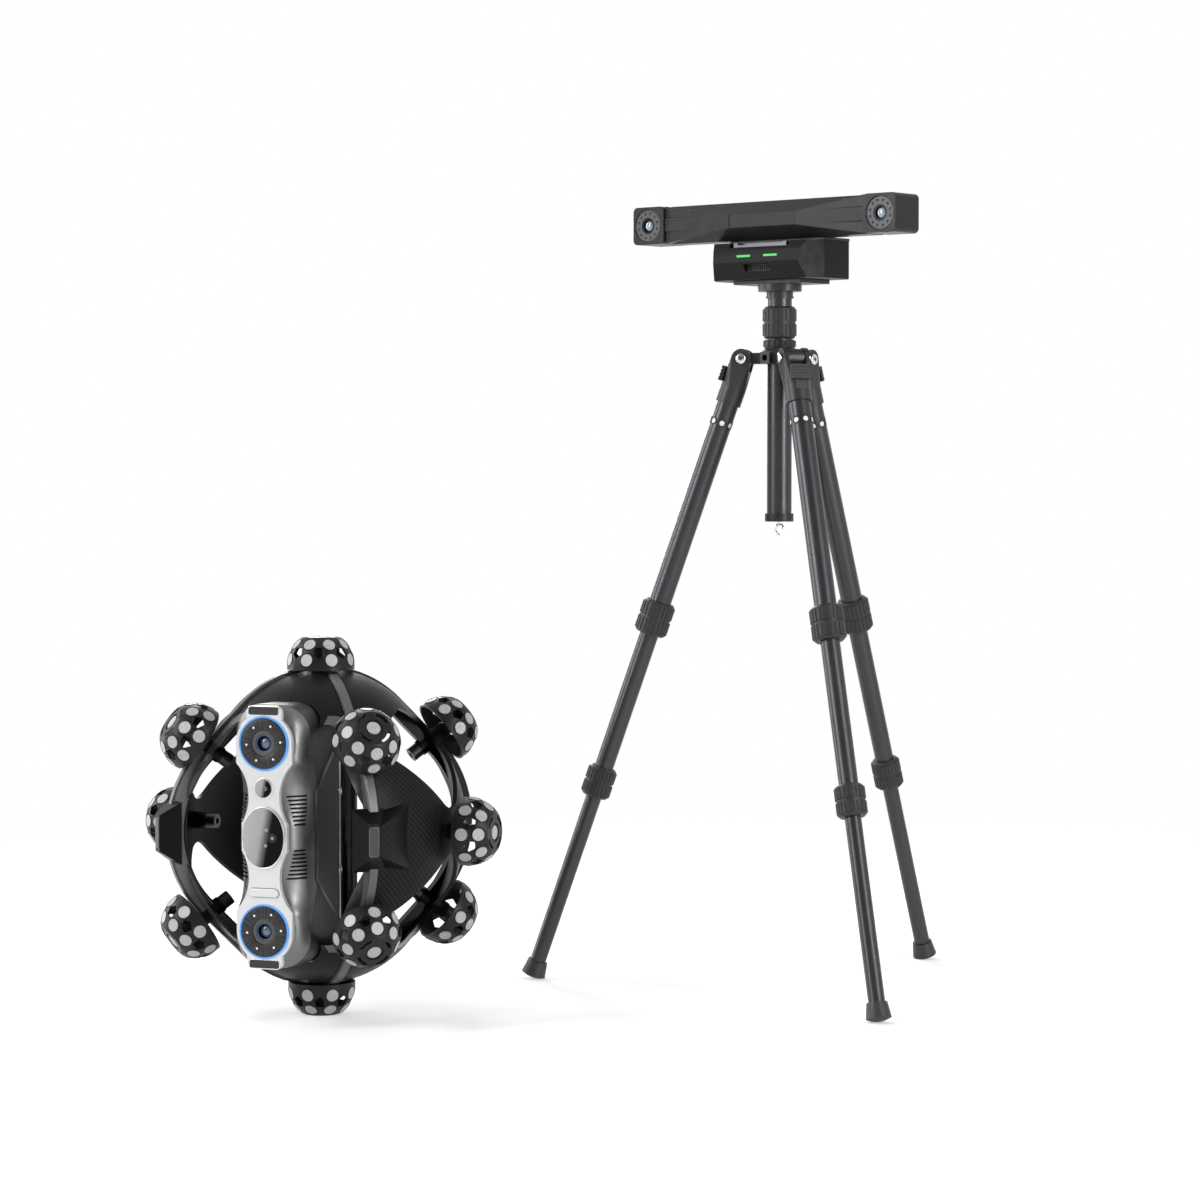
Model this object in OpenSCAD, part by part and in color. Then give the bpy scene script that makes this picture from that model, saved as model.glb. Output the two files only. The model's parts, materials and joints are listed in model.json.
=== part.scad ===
// Optical tracking scanner set: a hand-held scanner in a marker cage, and a stereo tracker on a tripod.
// Millimetres. Origin on the floor under the tripod's column, +Z up, the tracker faces -Y.
// The scanner stands on its lowest marker dome, in front of the tripod and to its left.

/* [Tripod] */
// Angle of a leg from the vertical, at its first stop
leg_tilt = 19; // [17:0.5:22]
// Distance from the column axis to a leg pivot
pivot_r = 36.7; // [35:0.1:40]
// Outer diameter of the upper leg tube
upper_d = 22; // [21:0.5:23]
// Outer diameter of the middle leg tube
middle_d = 19; // [18:0.5:19.4]
// Outer diameter of the lower leg tube
lower_d = 16; // [15:0.5:16.4]
// Distance from the pivot to the middle of the upper twist lock
lock1_at = 274; // [260:1:290]
// Distance from the pivot to the middle of the lower twist lock
lock2_at = 450; // [440:1:462]
// Distance from the pivot to the tip of the foot
leg_length = 662; // [640:1:690]
// Outer diameter of the centre column
column_d = 24.6; // [24:0.1:25]
// Distance from the hub to the bottom of the column
column_drop = 154; // [120:1:180]

/* [Tracker] */
// Length of the camera bar
bar_length = 330; // [320:1:340]
// Height of the camera bar
bar_height = 38; // [36:0.5:40]
// Front-to-back depth of the camera bar
bar_depth = 38; // [36:0.5:40]
// Distance from the bar's end to the axis of its camera
camera_inset = 19; // [18:0.5:21]
// Width of the tracker's base box
base_width = 136; // [130:1:142]
// Depth of the tracker's base box
base_depth = 72; // [70:1:76]

/* [Scanner] */
// Rounding radius of the cage
cage_round = 110; // [106:1:112]
// Distance from the cage's centre to the middle of each rounding
cage_point = 42; // [40:1:44]
// Radial depth of the cage's arms
arm_depth = 16; // [13:0.5:17]
// Width of the cage's arms
arm_width = 10; // [8:0.5:12]
// Thickness of the cage's panels
panel_wall = 4; // [3:0.5:5]
// Radius of the marker domes
dome_r = 32; // [30:0.5:33]
// Radius of the reflecting dots
dot_r = 5.8; // [5:0.1:6]
// Height of the scanner body
body_height = 243; // [238:1:246]
// Width of the scanner body
body_width = 80; // [76:1:84]
// How far each scanner lens lies inside its end of the body
lens_inset = 34.75; // [33.5:0.25:36]
// Radius of the lit ring round each lens
lens_ring_r = 25; // [24:0.5:26]

/* [Hidden] */
$fn = 64;
// Gap between pieces that move past each other
gap = 0.3;
// Radial clearance of a pin or a shaft in its hole
fit = 0.05;
// Azimuths of the left, front and right legs
leg_az = [-150, -30, 90];
// The foot's rounded sole
sole_r = 26;
sole_at = leg_length - sole_r;
pivot_z = sole_at * cos(leg_tilt) + sole_r;
upper_r = upper_d / 2;
middle_r = middle_d / 2;
lower_r = lower_d / 2;
tube_wall = 0.95;
lug_w = 17;
fork_w = 27;
bolt_r = 3.2;
sleeve_end = 47;
tab_floor = upper_r + 0.7;
lock1_len = 34;
lock2_len = 31;
overlap = 40;
column_r = column_d / 2;
column_wall = 1.2;
// Heights of the parts over the leg pivots
hub_low = -5;
hub_high = 7;
collar_low = 11;
lock_low = 20;
lock_high = 52;
head_low = 60;
disc_low = 67;
plate_low = 74;
base_low = 78;
base_tall = 37;
base_front = -40;
mount_low = base_low + base_tall;
bar_low = mount_low + 3;
bar_mid = bar_low + bar_height / 2;
bar_front = -31;
block_w = 40;
tracker_baseline = bar_length - 2 * camera_inset;
ring_r = 16.5;
// The scanner's place on the floor, and the turn of its front
scanner_at = [-219, -425];
scanner_turn = 19.5;
dome_flat = 0.84 * dome_r;
dome_at = cage_point + cage_round + 0.6;
dome_skirt = 4;
// Angles of the two rows of dots from a dome's pole
dot_polar = [49.5, 79];
dome_wall = 2;
scanner_z = dome_at + dome_flat;
front_y = -120;
plate_back = -115;
// Where the body's front bevel ends
bevel_back = -99;
shell_back = -41;
grip_step = 4;
grip_back = 22;
lens_z = body_height / 2 - lens_inset;
camera_z = 0.5233 * lens_z;
pill_z = -0.588 * lens_z;
end_pad_z = body_height / 2 - 4.75;
seat = body_height / 2 + 0.1;
// Directions and distance of the pads on the two front arms
pad_az = [-47, -133];
pad_at = cage_point + cage_round + 11;
// Directions of the twelve domes, as azimuth and elevation from the scanner's own right
domes = concat(
  [[0, 90], [0, -90], [0, 0], [180, 0]],
  [for (a = [45, 135, 225, 315]) for (e = [-35, 35]) [a, e]]
);

// Places a piece on the tripod, with heights measured from the leg pivots.
module on_tripod() {
  translate([0, 0, pivot_z]) children();
}

// Places a piece on leg i: pivot at the origin, the foot towards -Z, the outer face towards +X.
module on_leg(i) {
  on_tripod() rotate([0, 0, leg_az[i]]) translate([pivot_r, 0, 0]) rotate([0, -leg_tilt, 0]) children();
}

// Places a piece on the scanner: the cage's centre at the origin, the front towards -Y.
module on_scanner() {
  translate([scanner_at[0], scanner_at[1], scanner_z]) rotate([0, 0, scanner_turn]) children();
}

// Places a piece on dome d, with +Z pointing out of the cage from the cage's centre.
module on_dome(d) {
  rotate([0, 0, d[0]]) rotate([0, 90 - d[1], 0]) children();
}

// A rectangle with round corners.
module rounded(w, h, r) {
  square([w - 2 * r, h], center = true);
  square([w, h - 2 * r], center = true);
  for (x = [-1, 1]) for (y = [-1, 1])
    translate([x * (w / 2 - r), y * (h / 2 - r)]) circle(r = r, $fn = 32);
}

// Extrudes a front view, drawn as x and z, from y0 to y1.
module front_to_back(y0, y1) {
  translate([0, y1, 0]) rotate([90, 0, 0]) linear_extrude(height = y1 - y0) children();
}

// A tube standing on z = 0.
module tube(r, wall, h) {
  difference() {
    cylinder(r = r, h = h);
    translate([0, 0, -1]) cylinder(r = r - wall, h = h + 2);
  }
}

// A twist lock with two ribbed bands; its upper end runs on a tube of radius ru, the rest on rl.
module twist_lock(r, len, ru, rl, step) {
  band = (len - 9) / 2;
  difference() {
    union() {
      translate([0, 0, 2]) cylinder(r = r - 1.1, h = len - 4);
      cylinder(r1 = r - 3, r2 = r - 1.1, h = 2);
      translate([0, 0, len - 2]) cylinder(r1 = r - 1.1, r2 = r - 3, h = 2);
      for (z = [3, len - 3 - band]) translate([0, 0, z]) linear_extrude(height = band) difference() {
        circle(r = r);
        for (k = [0:23]) rotate(15 * k) translate([r + 0.3, 0]) circle(r = 1.1, $fn = 16);
      }
    }
    translate([0, 0, -1]) cylinder(r = rl + fit, h = len + 2);
    translate([0, 0, len - step]) cylinder(r = ru + fit, h = step + 1);
  }
}

// Tripod

module tripod_hub() color([0.2, 0.2, 0.21]) on_tripod() difference() {
  union() {
    translate([0, 0, hub_low]) cylinder(r = 19, h = hub_high - hub_low);
    translate([0, 0, hub_high]) cylinder(r1 = 19, r2 = 15.5, h = collar_low - hub_high);
    for (a = leg_az) rotate([0, 0, a]) {
      translate([0, -lug_w / 2, hub_low]) cube([pivot_r, lug_w, hub_high - hub_low - 1]);
      translate([pivot_r, 0, 0]) rotate([90, 0, 0]) cylinder(r = 9, h = lug_w, center = true);
    }
    translate([-6, -24, hub_low]) cube([12, 24, hub_high - hub_low - 0.5]);
  }
  translate([0, 0, -20]) cylinder(r = column_r + fit, h = 60);
  for (a = leg_az) rotate([0, 0, a]) translate([pivot_r, 0, 0])
    rotate([90, 0, 0]) cylinder(r = bolt_r + 0.02, h = 40, center = true);
  translate([0, -15, 0.75]) rotate([90, 0, 0]) cylinder(r = 3.175, h = 12);
}

module pivot_bolts() color([0.8, 0.8, 0.82]) on_tripod()
  for (a = leg_az) rotate([0, 0, a]) translate([pivot_r, 0, 0]) rotate([90, 0, 0]) difference() {
    union() {
      cylinder(r = bolt_r, h = fork_w + 0.6, center = true);
      for (s = [-1, 1]) translate([0, 0, s * (fork_w / 2 + 1.3)]) cylinder(r = 5.2, h = 2, center = true);
    }
    for (s = [-1, 1]) translate([0, 0, s * (fork_w / 2 + 2.3)])
      cylinder(r = 2.6, h = 2.4, center = true, $fn = 6);
  }

module column_collar() color([0.12, 0.12, 0.13]) on_tripod() translate([0, 0, collar_low]) difference() {
  union() {
    cylinder(r = 15, h = 8);
    translate([0, 0, 1]) linear_extrude(height = 6) difference() {
      circle(r = 16.5);
      for (k = [0:11]) rotate(30 * k) translate([17, 0]) circle(r = 1.6, $fn = 16);
    }
  }
  translate([0, 0, -1]) cylinder(r = column_r + fit, h = 10);
}

module column_lock() color([0.08, 0.08, 0.08]) on_tripod() translate([0, 0, lock_low])
  twist_lock(17, lock_high - lock_low, column_r, column_r, 4);

module column_tube() color([0.16, 0.16, 0.17]) on_tripod() translate([0, 0, -column_drop])
  tube(column_r, column_wall, column_drop + head_low);

module column_cap() color([0.1, 0.1, 0.1]) on_tripod() translate([0, 0, -column_drop]) difference() {
  union() {
    translate([0, 0, -8]) cylinder(r = 14.3, h = 8);
    cylinder(r = column_r - column_wall - fit, h = 12);
  }
  translate([0, 0, -9]) cylinder(r = 4, h = 4);
}

module ballast_hook() color([0.8, 0.8, 0.82]) on_tripod() translate([0, 0, -column_drop - 5]) {
  translate([0, 0, -6]) cylinder(r = 1.5, h = 6);
  translate([0, 0, -11]) rotate([90, 0, 0]) rotate_extrude(angle = 270)
    translate([5, 0]) circle(r = 1.5, $fn = 24);
}

module head_plate() color([0.14, 0.14, 0.15]) on_tripod() {
  translate([0, 0, head_low - 14]) cylinder(r = column_r - column_wall - fit, h = 14);
  translate([0, 0, head_low + 0.1]) cylinder(r = 14, h = 2);
  translate([0, 0, head_low - 0.1]) cylinder(r = 10, h = 0.4);
  translate([0, 0, head_low + 2]) cylinder(r = 13.4, h = disc_low - head_low - 2);
  translate([0, 0, disc_low]) cylinder(r = 22, h = plate_low - disc_low);
  translate([0, 0, plate_low]) cylinder(r = 4.7, h = 12);
}

// Legs

module leg_shoulder(i) color([0.2, 0.2, 0.21]) on_leg(i) difference() {
  union() {
    hull() {
      rotate([90, 0, 0]) cylinder(r = 10, h = fork_w, center = true, $fn = 32);
      translate([0, 0, -30]) cylinder(r = upper_r + 2, h = 4, $fn = 32);
    }
    translate([0, 0, -sleeve_end]) cylinder(r = upper_r + 2, h = sleeve_end - 26);
  }
  translate([-30, -lug_w / 2 - gap, -10]) cube([60, lug_w + 2 * gap, 30]);
  rotate([90, 0, 0]) cylinder(r = bolt_r + fit, h = 60, center = true);
  translate([0, 0, -sleeve_end - 1]) cylinder(r = upper_r + fit, h = sleeve_end - 23);
  translate([tab_floor, -11, -36]) cube([10, 22, 26.5]);
}

module leg_angle_tab(i) color([0.05, 0.05, 0.05]) on_leg(i)
  translate([tab_floor + gap, -10.5, -27]) difference() {
    cube([4, 21, 15]);
    for (z = [4, 7.5, 11]) translate([3.4, -1, z]) cube([2, 23, 1.2]);
  }

module leg_upper_tube(i) color([0.16, 0.16, 0.17]) on_leg(i)
  translate([0, 0, -lock1_at + 4]) tube(upper_r, tube_wall, lock1_at - 4 - 24);

module leg_upper_lock(i) color([0.08, 0.08, 0.08]) on_leg(i)
  translate([0, 0, -lock1_at - lock1_len / 2])
    twist_lock(16.8, lock1_len, upper_r, middle_r, lock1_len / 2 + 4.5);

module leg_middle_tube(i) color([0.16, 0.16, 0.17]) on_leg(i)
  translate([0, 0, -lock2_at + 4]) tube(middle_r, tube_wall, lock2_at - lock1_at + overlap);

module leg_lower_lock(i) color([0.08, 0.08, 0.08]) on_leg(i)
  translate([0, 0, -lock2_at - lock2_len / 2])
    twist_lock(15, lock2_len, middle_r, lower_r, lock2_len / 2 + 4.5);

module leg_lower_tube(i) color([0.16, 0.16, 0.17]) on_leg(i)
  translate([0, 0, -leg_length + 9]) tube(lower_r, tube_wall, leg_length - 9 - lock2_at + overlap);

module leg_foot(i) color([0.06, 0.06, 0.06]) on_leg(i) difference() {
  intersection() {
    translate([0, 0, -leg_length]) cylinder(r1 = 12.8, r2 = 10, h = 18);
    translate([0, 0, -sole_at]) sphere(r = sole_r);
  }
  translate([0, 0, -leg_length + 9]) cylinder(r = lower_r + 0.02, h = 20);
}

// Tracker

module tracker_plate() color([0.12, 0.12, 0.12]) on_tripod() difference() {
  translate([-42, -21, plate_low]) cube([84, 48, base_low - plate_low]);
  translate([0, 0, plate_low - 1]) cylinder(r = 4.8, h = 8);
}

module tracker_base() color([0.1, 0.1, 0.11]) on_tripod() difference() {
  intersection() {
    rotate([90, 0, 90]) linear_extrude(height = base_width + 20, center = true) polygon([
      [base_front + 8, base_low], [base_front, base_low + 17], [base_front + 2.5, base_low + 29],
      [base_front + 9, base_low + base_tall], [base_front + base_depth - 4, base_low + base_tall],
      [base_front + base_depth, base_low + base_tall - 5], [base_front + base_depth, base_low]
    ]);
    linear_extrude(height = 300) polygon([
      [-base_width / 2 + 15, base_front], [base_width / 2 - 15, base_front],
      [base_width / 2, base_front + 24], [base_width / 2, base_front + base_depth - 8],
      [base_width / 2 - 8, base_front + base_depth], [-base_width / 2 + 8, base_front + base_depth],
      [-base_width / 2, base_front + base_depth - 8], [-base_width / 2, base_front + 24]
    ]);
  }
  // The hollow for the electronics and the head's screw
  translate([-45, base_front + 14, base_low - 1]) cube([90, base_depth - 20, base_tall - 10]);
  // The top recess that holds the metal rail
  translate([-37, base_front + 5, mount_low - 5]) cube([74, 22, 10]);
  // Light windows, vent, and sockets in the back
  for (x = [-15.5, 18]) translate([x - 8.5, base_front - 1, base_low + 22]) cube([17, 4, 2.2]);
  translate([-15.5, base_front - 2, base_low + 8]) cube([31, 14, 7]);
  for (x = [-20, 8]) translate([x, base_front + base_depth - 4, base_low + 12]) cube([10, 6, 4]);
}

module base_vent() color([0.05, 0.05, 0.05]) on_tripod() translate([0, base_front, base_low + 8])
  difference() {
    translate([-15.4, 6.5, 0.1]) cube([30.8, 5.5, 6.8]);
    for (k = [-6:6]) translate([2.3 * k - 0.6, 5, 1]) cube([1.2, 5.5, 5]);
  }

module status_lights() color([0.2, 0.9, 0.3]) on_tripod()
  for (x = [-15.5, 18]) translate([x - 8.4, base_front + 1.2, base_low + 22.1]) cube([16.8, 1.75, 2]);

module saddle_rail() color([0.6, 0.6, 0.62]) on_tripod() difference() {
  translate([-33, base_front + 8, mount_low - 5]) cube([66, 16, 4.6]);
  translate([-28, base_front + 7, mount_low - 2.4]) cube([56, 9, 4]);
}

module bar_mount_plate() color([0.08, 0.08, 0.08]) on_tripod()
  translate([-52, -14, mount_low]) cube([118, 42, bar_low - mount_low]);

module bar_shell() color([0.1, 0.1, 0.11]) on_tripod() translate([0, bar_front, bar_mid]) {
  h = bar_height / 2;
  inner = bar_length / 2 - block_w;
  rotate([90, 0, 90]) linear_extrude(height = 2 * inner, center = true) polygon([
    [13, -h], [2, -6.5], [2, 6.5], [13, h], [bar_depth - 3, h], [bar_depth, h - 3],
    [bar_depth, 3 - h], [bar_depth - 3, -h]
  ]);
  for (s = [-1, 1]) hull() {
    translate([s * (inner - 0.5), 12, 0]) cube([1, 18, bar_height - 1], center = true);
    translate([s * 42, 11, 0]) cube([1, 19, 13], center = true);
  }
}

module camera_blocks() color([0.1, 0.1, 0.11]) on_tripod() translate([0, bar_front, bar_mid])
  for (s = [-1, 1]) translate([s * (bar_length / 2 - block_w / 2), 0, 0]) difference() {
    front_to_back(0, bar_depth) rounded(block_w, bar_height, 5);
    translate([s * (tracker_baseline - bar_length + block_w) / 2, 0, 0]) {
      front_to_back(-1, 2.6) circle(r = ring_r + 0.1);
      front_to_back(0, 22) circle(r = 8.2);
    }
  }

module camera_rings() color([0.25, 0.25, 0.26]) on_tripod() translate([0, bar_front, bar_mid])
  for (s = [-1, 1]) translate([s * tracker_baseline / 2, 0, 0]) difference() {
    front_to_back(0.8, 2.6) circle(r = ring_r);
    front_to_back(-1, 4) circle(r = 8.2);
    for (k = [0:11]) rotate([0, 30 * k + 15, 0]) translate([12.4, 0, 0])
      front_to_back(0, 1.8) circle(r = 1.3, $fn = 24);
  }

module camera_lenses() color([0.05, 0.07, 0.12]) on_tripod() translate([0, bar_front, bar_mid])
  for (s = [-1, 1]) translate([s * tracker_baseline / 2, 0, 0]) {
    difference() {
      front_to_back(1.4, 22) circle(r = 8);
      front_to_back(0, 6) circle(r = 6.2);
    }
    intersection() {
      front_to_back(3, 7) circle(r = 5.6);
      translate([0, 12, 0]) sphere(r = 9);
    }
  }

// Scanner: the cage and its markers

// The cage's outer surface, moved in by t.
module cage_body(t) {
  sphere(r = cage_point * cos(45) + cage_round - 2.2 - t, $fn = 96);
  for (s = [-1, 1]) translate([0, 0, s * cage_point]) sphere(r = cage_round - 2 - t, $fn = 96);
}

// A square with its corners rounded about the four points, in an arm's plane.
module arm_outline(r) {
  side = cage_point * sqrt(2);
  rotate(45) {
    square([side + 2 * r, side], center = true);
    square([side, side + 2 * r], center = true);
  }
  for (a = [0:90:270]) rotate(a) translate([cage_point, 0]) circle(r = r, $fn = 96);
}

// The scanner body's outline with a margin, seen from the front.
module body_outline(m) {
  rounded(body_width + 2 * m, body_height + 2 * m, 28 + m);
}

module cage_window(s) {
  rotate([90, 0, 90]) linear_extrude(height = 400, center = true) hull() {
    translate([0, s * 99]) circle(r = 14, $fn = 32);
    for (y = [-57, 57]) translate([y, s * 84]) circle(r = 10, $fn = 32);
    translate([0, s * 42]) circle(r = 21, $fn = 32);
  }
}

module marker_cage() color([0.09, 0.09, 0.1]) on_scanner() difference() {
  union() {
    difference() {
      union() cage_body(0);
      union() cage_body(panel_wall);
      for (s = [-1, 1]) cage_window(s);
      front_to_back(-200, 200) hull() {
        for (x = [-1, 1]) for (z = [-1, 1]) {
          translate([84 * x, 24 * z]) circle(r = 9, $fn = 24);
          translate([46 * x, 93 * z]) circle(r = 9, $fn = 24);
        }
      }
      front_to_back(-200, -20) body_outline(0.6);
    }
    for (a = [45, 135]) rotate([90, 0, a]) linear_extrude(height = arm_width, center = true) difference() {
      arm_outline(cage_round);
      arm_outline(cage_round - arm_depth);
    }
    for (d = domes) on_dome(d) translate([0, 0, abs(d[1]) == 90 ? seat : 122])
      cylinder(r = 8, h = dome_at + 0.3 - (abs(d[1]) == 90 ? seat : 122));
    for (a = pad_az) rotate([0, 0, a]) hull() {
      translate([cage_point + cage_round - 8, -15, -29]) cube([1, 30, 58]);
      translate([pad_at - 1, -6, -17]) cube([1, 12, 34]);
    }
  }
  for (d = domes) on_dome(d) translate([0, 0, 100]) cylinder(r = 3 + fit, h = 80);
  for (a = pad_az) rotate([0, 0, a]) translate([pad_at - 1, -4, -13]) cube([5, 8, 26]);
}

module hub_pads() color([0.03, 0.03, 0.03]) on_scanner()
  for (a = pad_az) rotate([0, 0, a]) translate([pad_at - 1, 0, 0])
    rotate([90, 0, 90]) linear_extrude(height = 1.6) rounded(7.6, 25.6, 2);

// One marker dome: an open shell with a flat pole, its sphere's middle at the origin.
module dome() difference() {
  rotate_extrude() {
    intersection() {
      difference() {
        circle(r = dome_r);
        circle(r = dome_r - dome_wall);
      }
      square([dome_r, dome_flat]);
    }
    translate([dome_r - dome_wall, -dome_skirt]) square([dome_wall, dome_skirt]);
    translate([0, dome_flat - 2.4]) square([sqrt(pow(dome_r, 2) - pow(dome_flat, 2)), 2.4]);
    translate([3 + fit, 0.4]) square([4, dome_flat - 1]);
  }
  for (k = [0:7]) rotate([0, 0, 45 * k]) {
    for (p = dot_polar) rotate([0, p, 0]) translate([0, 0, dome_r - 1.1])
      cylinder(r = dot_r + 0.6, h = 4, $fn = 32);
    rotate([0, 0, 22.5]) rotate([0, 66, 0]) translate([0, 0, dome_r - 6])
      cylinder(r = 6.3, h = 10, $fn = 5);
  }
  for (k = [0:3]) rotate([0, 0, 90 * k + 20]) rotate_extrude(angle = 50)
    translate([0.42 * dome_r, dome_flat - 4]) square([0.09 * dome_r, 8]);
  translate([0, 0, dome_flat - 0.9]) cylinder(r = 0.28 * dome_r, h = 2);
}

module marker_domes() color([0.07, 0.07, 0.07]) on_scanner()
  for (d = domes) on_dome(d) translate([0, 0, dome_at]) dome();

module marker_dots() color([0.75, 0.76, 0.78]) on_scanner()
  for (d = domes) on_dome(d) translate([0, 0, dome_at]) {
    for (k = [0:7]) rotate([0, 0, 45 * k]) for (p = dot_polar)
      rotate([0, p, 0]) translate([0, 0, dome_r - 1.1]) cylinder(r = dot_r, h = 0.7, $fn = 32);
    translate([0, 0, dome_flat - 0.9]) cylinder(r = 0.2 * dome_r, h = 0.7, $fn = 32);
  }

module dome_screws() color([0.06, 0.06, 0.06]) on_scanner()
  for (d = domes) on_dome(d) {
    translate([0, 0, seat + 0.1]) cylinder(r = 3, h = dome_at + dome_flat - 4 - seat);
    if (abs(d[1]) < 90) difference() {
      translate([0, 0, 111]) cylinder(r = 7, h = 11);
      translate([0, 0, 110]) cylinder(r = 3.2, h = 6, $fn = 6);
    }
  }

// Scanner: the body

// The outline of the front plate: wide at the lenses, waisted between them and the window.
module plate_outline() {
  difference() {
    union() {
      square([46, 92], center = true);
      for (z = [-1, 1]) translate([0, z * (lens_z + 46) / 2]) square([57, lens_z - 46], center = true);
    }
    for (x = [-1, 1]) for (z = [-1, 1]) translate([x * 59.75, z * 0.4265 * lens_z]) circle(r = 44);
  }
  for (z = [-1, 1]) translate([0, z * lens_z]) circle(r = lens_ring_r + 3.5);
  for (z = [-1, 1]) translate([0, z * (lens_z + 19)]) rounded(36, body_height - 2 * lens_z - 38, 7);
}

// The whole shell of the body from the front plate to the grip.
module body_solid() {
  for (s = [-1, 1]) hull() {
    front_to_back(plate_back, plate_back + 0.5) translate([0, s * lens_z]) circle(r = 29, $fn = 32);
    front_to_back(bevel_back, bevel_back + 0.5) translate([0, s * (body_height / 2 - 45)])
      rounded(body_width, 90, 28);
  }
  hull() {
    front_to_back(plate_back, plate_back + 0.5) square([31, 130], center = true);
    front_to_back(bevel_back, bevel_back + 0.5) square([body_width, 184], center = true);
  }
  hull() {
    front_to_back(plate_back, plate_back + 0.5) square([45, 40], center = true);
    front_to_back(bevel_back, bevel_back + 0.5) square([body_width, 120], center = true);
  }
  front_to_back(bevel_back, shell_back) body_outline(0);
}

module side_shell(s) difference() {
  union() {
    intersection() {
      body_solid();
      translate([s * 100, 0, 0]) cube([200, 400, 400], center = true);
    }
    // The raised six-sided panel
    translate([s * (body_width / 2 + 0.2), 0, 0]) rotate([90, 0, 90])
      linear_extrude(height = 2.4, center = true) polygon([
        [bevel_back + 4, -41], [bevel_back + 4, 41], [shell_back - 6, 78],
        [shell_back, 78], [shell_back, -78], [shell_back - 6, -78]
      ]);
  }
  front_to_back(bevel_back + 4, shell_back + 1) rounded(body_width - 7, body_height - 12, 26);
  for (z = [-1, 1]) front_to_back(-130, -80) translate([0, z * lens_z]) circle(r = 11.2);
  front_to_back(-130, -80) circle(r = 8);
  // Two groups of cooling slots in the bevel, shorter towards the middle
  for (z = [-1, 1]) for (k = [0:7])
    translate([s * (body_width / 2 - 4.5 - (6.3 + k) / 2), plate_back + 10, z * (12 + 3.7 * k)])
      cube([6.3 + k, 24, 1.8], center = true);
}

module left_side_shell() color([0.3, 0.3, 0.32]) on_scanner() side_shell(-1);

module right_side_shell() color([0.3, 0.3, 0.32]) on_scanner() side_shell(1);

module front_plate() color([0.75, 0.76, 0.78]) on_scanner() difference() {
  front_to_back(front_y, plate_back) plate_outline();
  for (z = [-1, 1]) translate([0, 0, z * lens_z]) {
    front_to_back(front_y - 1, front_y + 3) circle(r = lens_ring_r + 0.1);
    front_to_back(front_y - 1, 0) circle(r = 11.2);
  }
  front_to_back(front_y - 1, front_y + 3) scale([21.4 / 28, 1]) circle(r = 28.1);
  front_to_back(front_y - 1, 0) circle(r = 8);
  front_to_back(front_y - 1, 0) translate([0, camera_z]) circle(r = 8.6);
  front_to_back(front_y - 1, front_y + 1) translate([0, pill_z]) rounded(30.2, 8.2, 4);
  for (z = [-1, 1]) front_to_back(front_y - 1, front_y + 1.5) intersection() {
    translate([0, z * end_pad_z]) rounded(30.2, 7.4, 2);
    difference() {
      circle(r = 300);
      translate([0, z * lens_z]) circle(r = lens_ring_r + 1);
    }
  }
}

module end_pads() color([0.2, 0.2, 0.21]) on_scanner()
  for (z = [-1, 1]) front_to_back(front_y - 0.6, front_y + 1.5) intersection() {
    translate([0, z * end_pad_z]) rounded(30, 7.2, 2);
    difference() {
      circle(r = 300);
      translate([0, z * lens_z]) circle(r = lens_ring_r + 1.1);
    }
  }

module lens_rings() color([0.2, 0.5, 0.95]) on_scanner()
  for (z = [-1, 1]) translate([0, 0, z * lens_z]) difference() {
    front_to_back(front_y - 1.2, front_y + 3) circle(r = lens_ring_r);
    front_to_back(front_y - 2, front_y + 4) circle(r = lens_ring_r - 1.3);
  }

module lens_discs() color([0.06, 0.06, 0.06]) on_scanner()
  for (z = [-1, 1]) translate([0, 0, z * lens_z]) difference() {
    front_to_back(front_y - 0.6, front_y + 3) circle(r = lens_ring_r - 1.4);
    front_to_back(front_y - 2, front_y + 4) circle(r = 7.6);
    front_to_back(front_y - 2, front_y + 0.2) circle(r = 12);
    for (k = [0:5]) rotate([0, 60 * k + 15, 0]) translate([17, 0, 0])
      front_to_back(front_y - 2, front_y + 0.6) circle(r = 1.3, $fn = 24);
  }

module scanner_lenses() color([0.05, 0.07, 0.12]) on_scanner()
  for (z = [-1, 1]) translate([0, 0, z * lens_z]) {
    difference() {
      front_to_back(front_y + 3, -84) circle(r = 11);
      front_to_back(front_y + 2, front_y + 9) circle(r = 7.6);
    }
    intersection() {
      front_to_back(front_y + 4, front_y + 10) circle(r = 6.6);
      translate([0, front_y + 14, 0]) sphere(r = 10);
    }
  }

module projector_window() color([0.02, 0.02, 0.02]) on_scanner() {
  front_to_back(front_y - 2, front_y + 3) scale([21.3 / 28, 1]) circle(r = 28);
  front_to_back(front_y + 3, plate_back) circle(r = 7.8);
}

module texture_camera() color([0.05, 0.05, 0.06]) on_scanner() translate([0, 0, camera_z]) difference() {
  front_to_back(front_y - 1.5, plate_back) circle(r = 8.5);
  front_to_back(front_y - 3, front_y + 1) circle(r = 5);
}

module front_pill() color([0.85, 0.86, 0.87]) on_scanner()
  front_to_back(front_y - 1, front_y + 1) translate([0, pill_z]) rounded(30, 8, 3.9);

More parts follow.
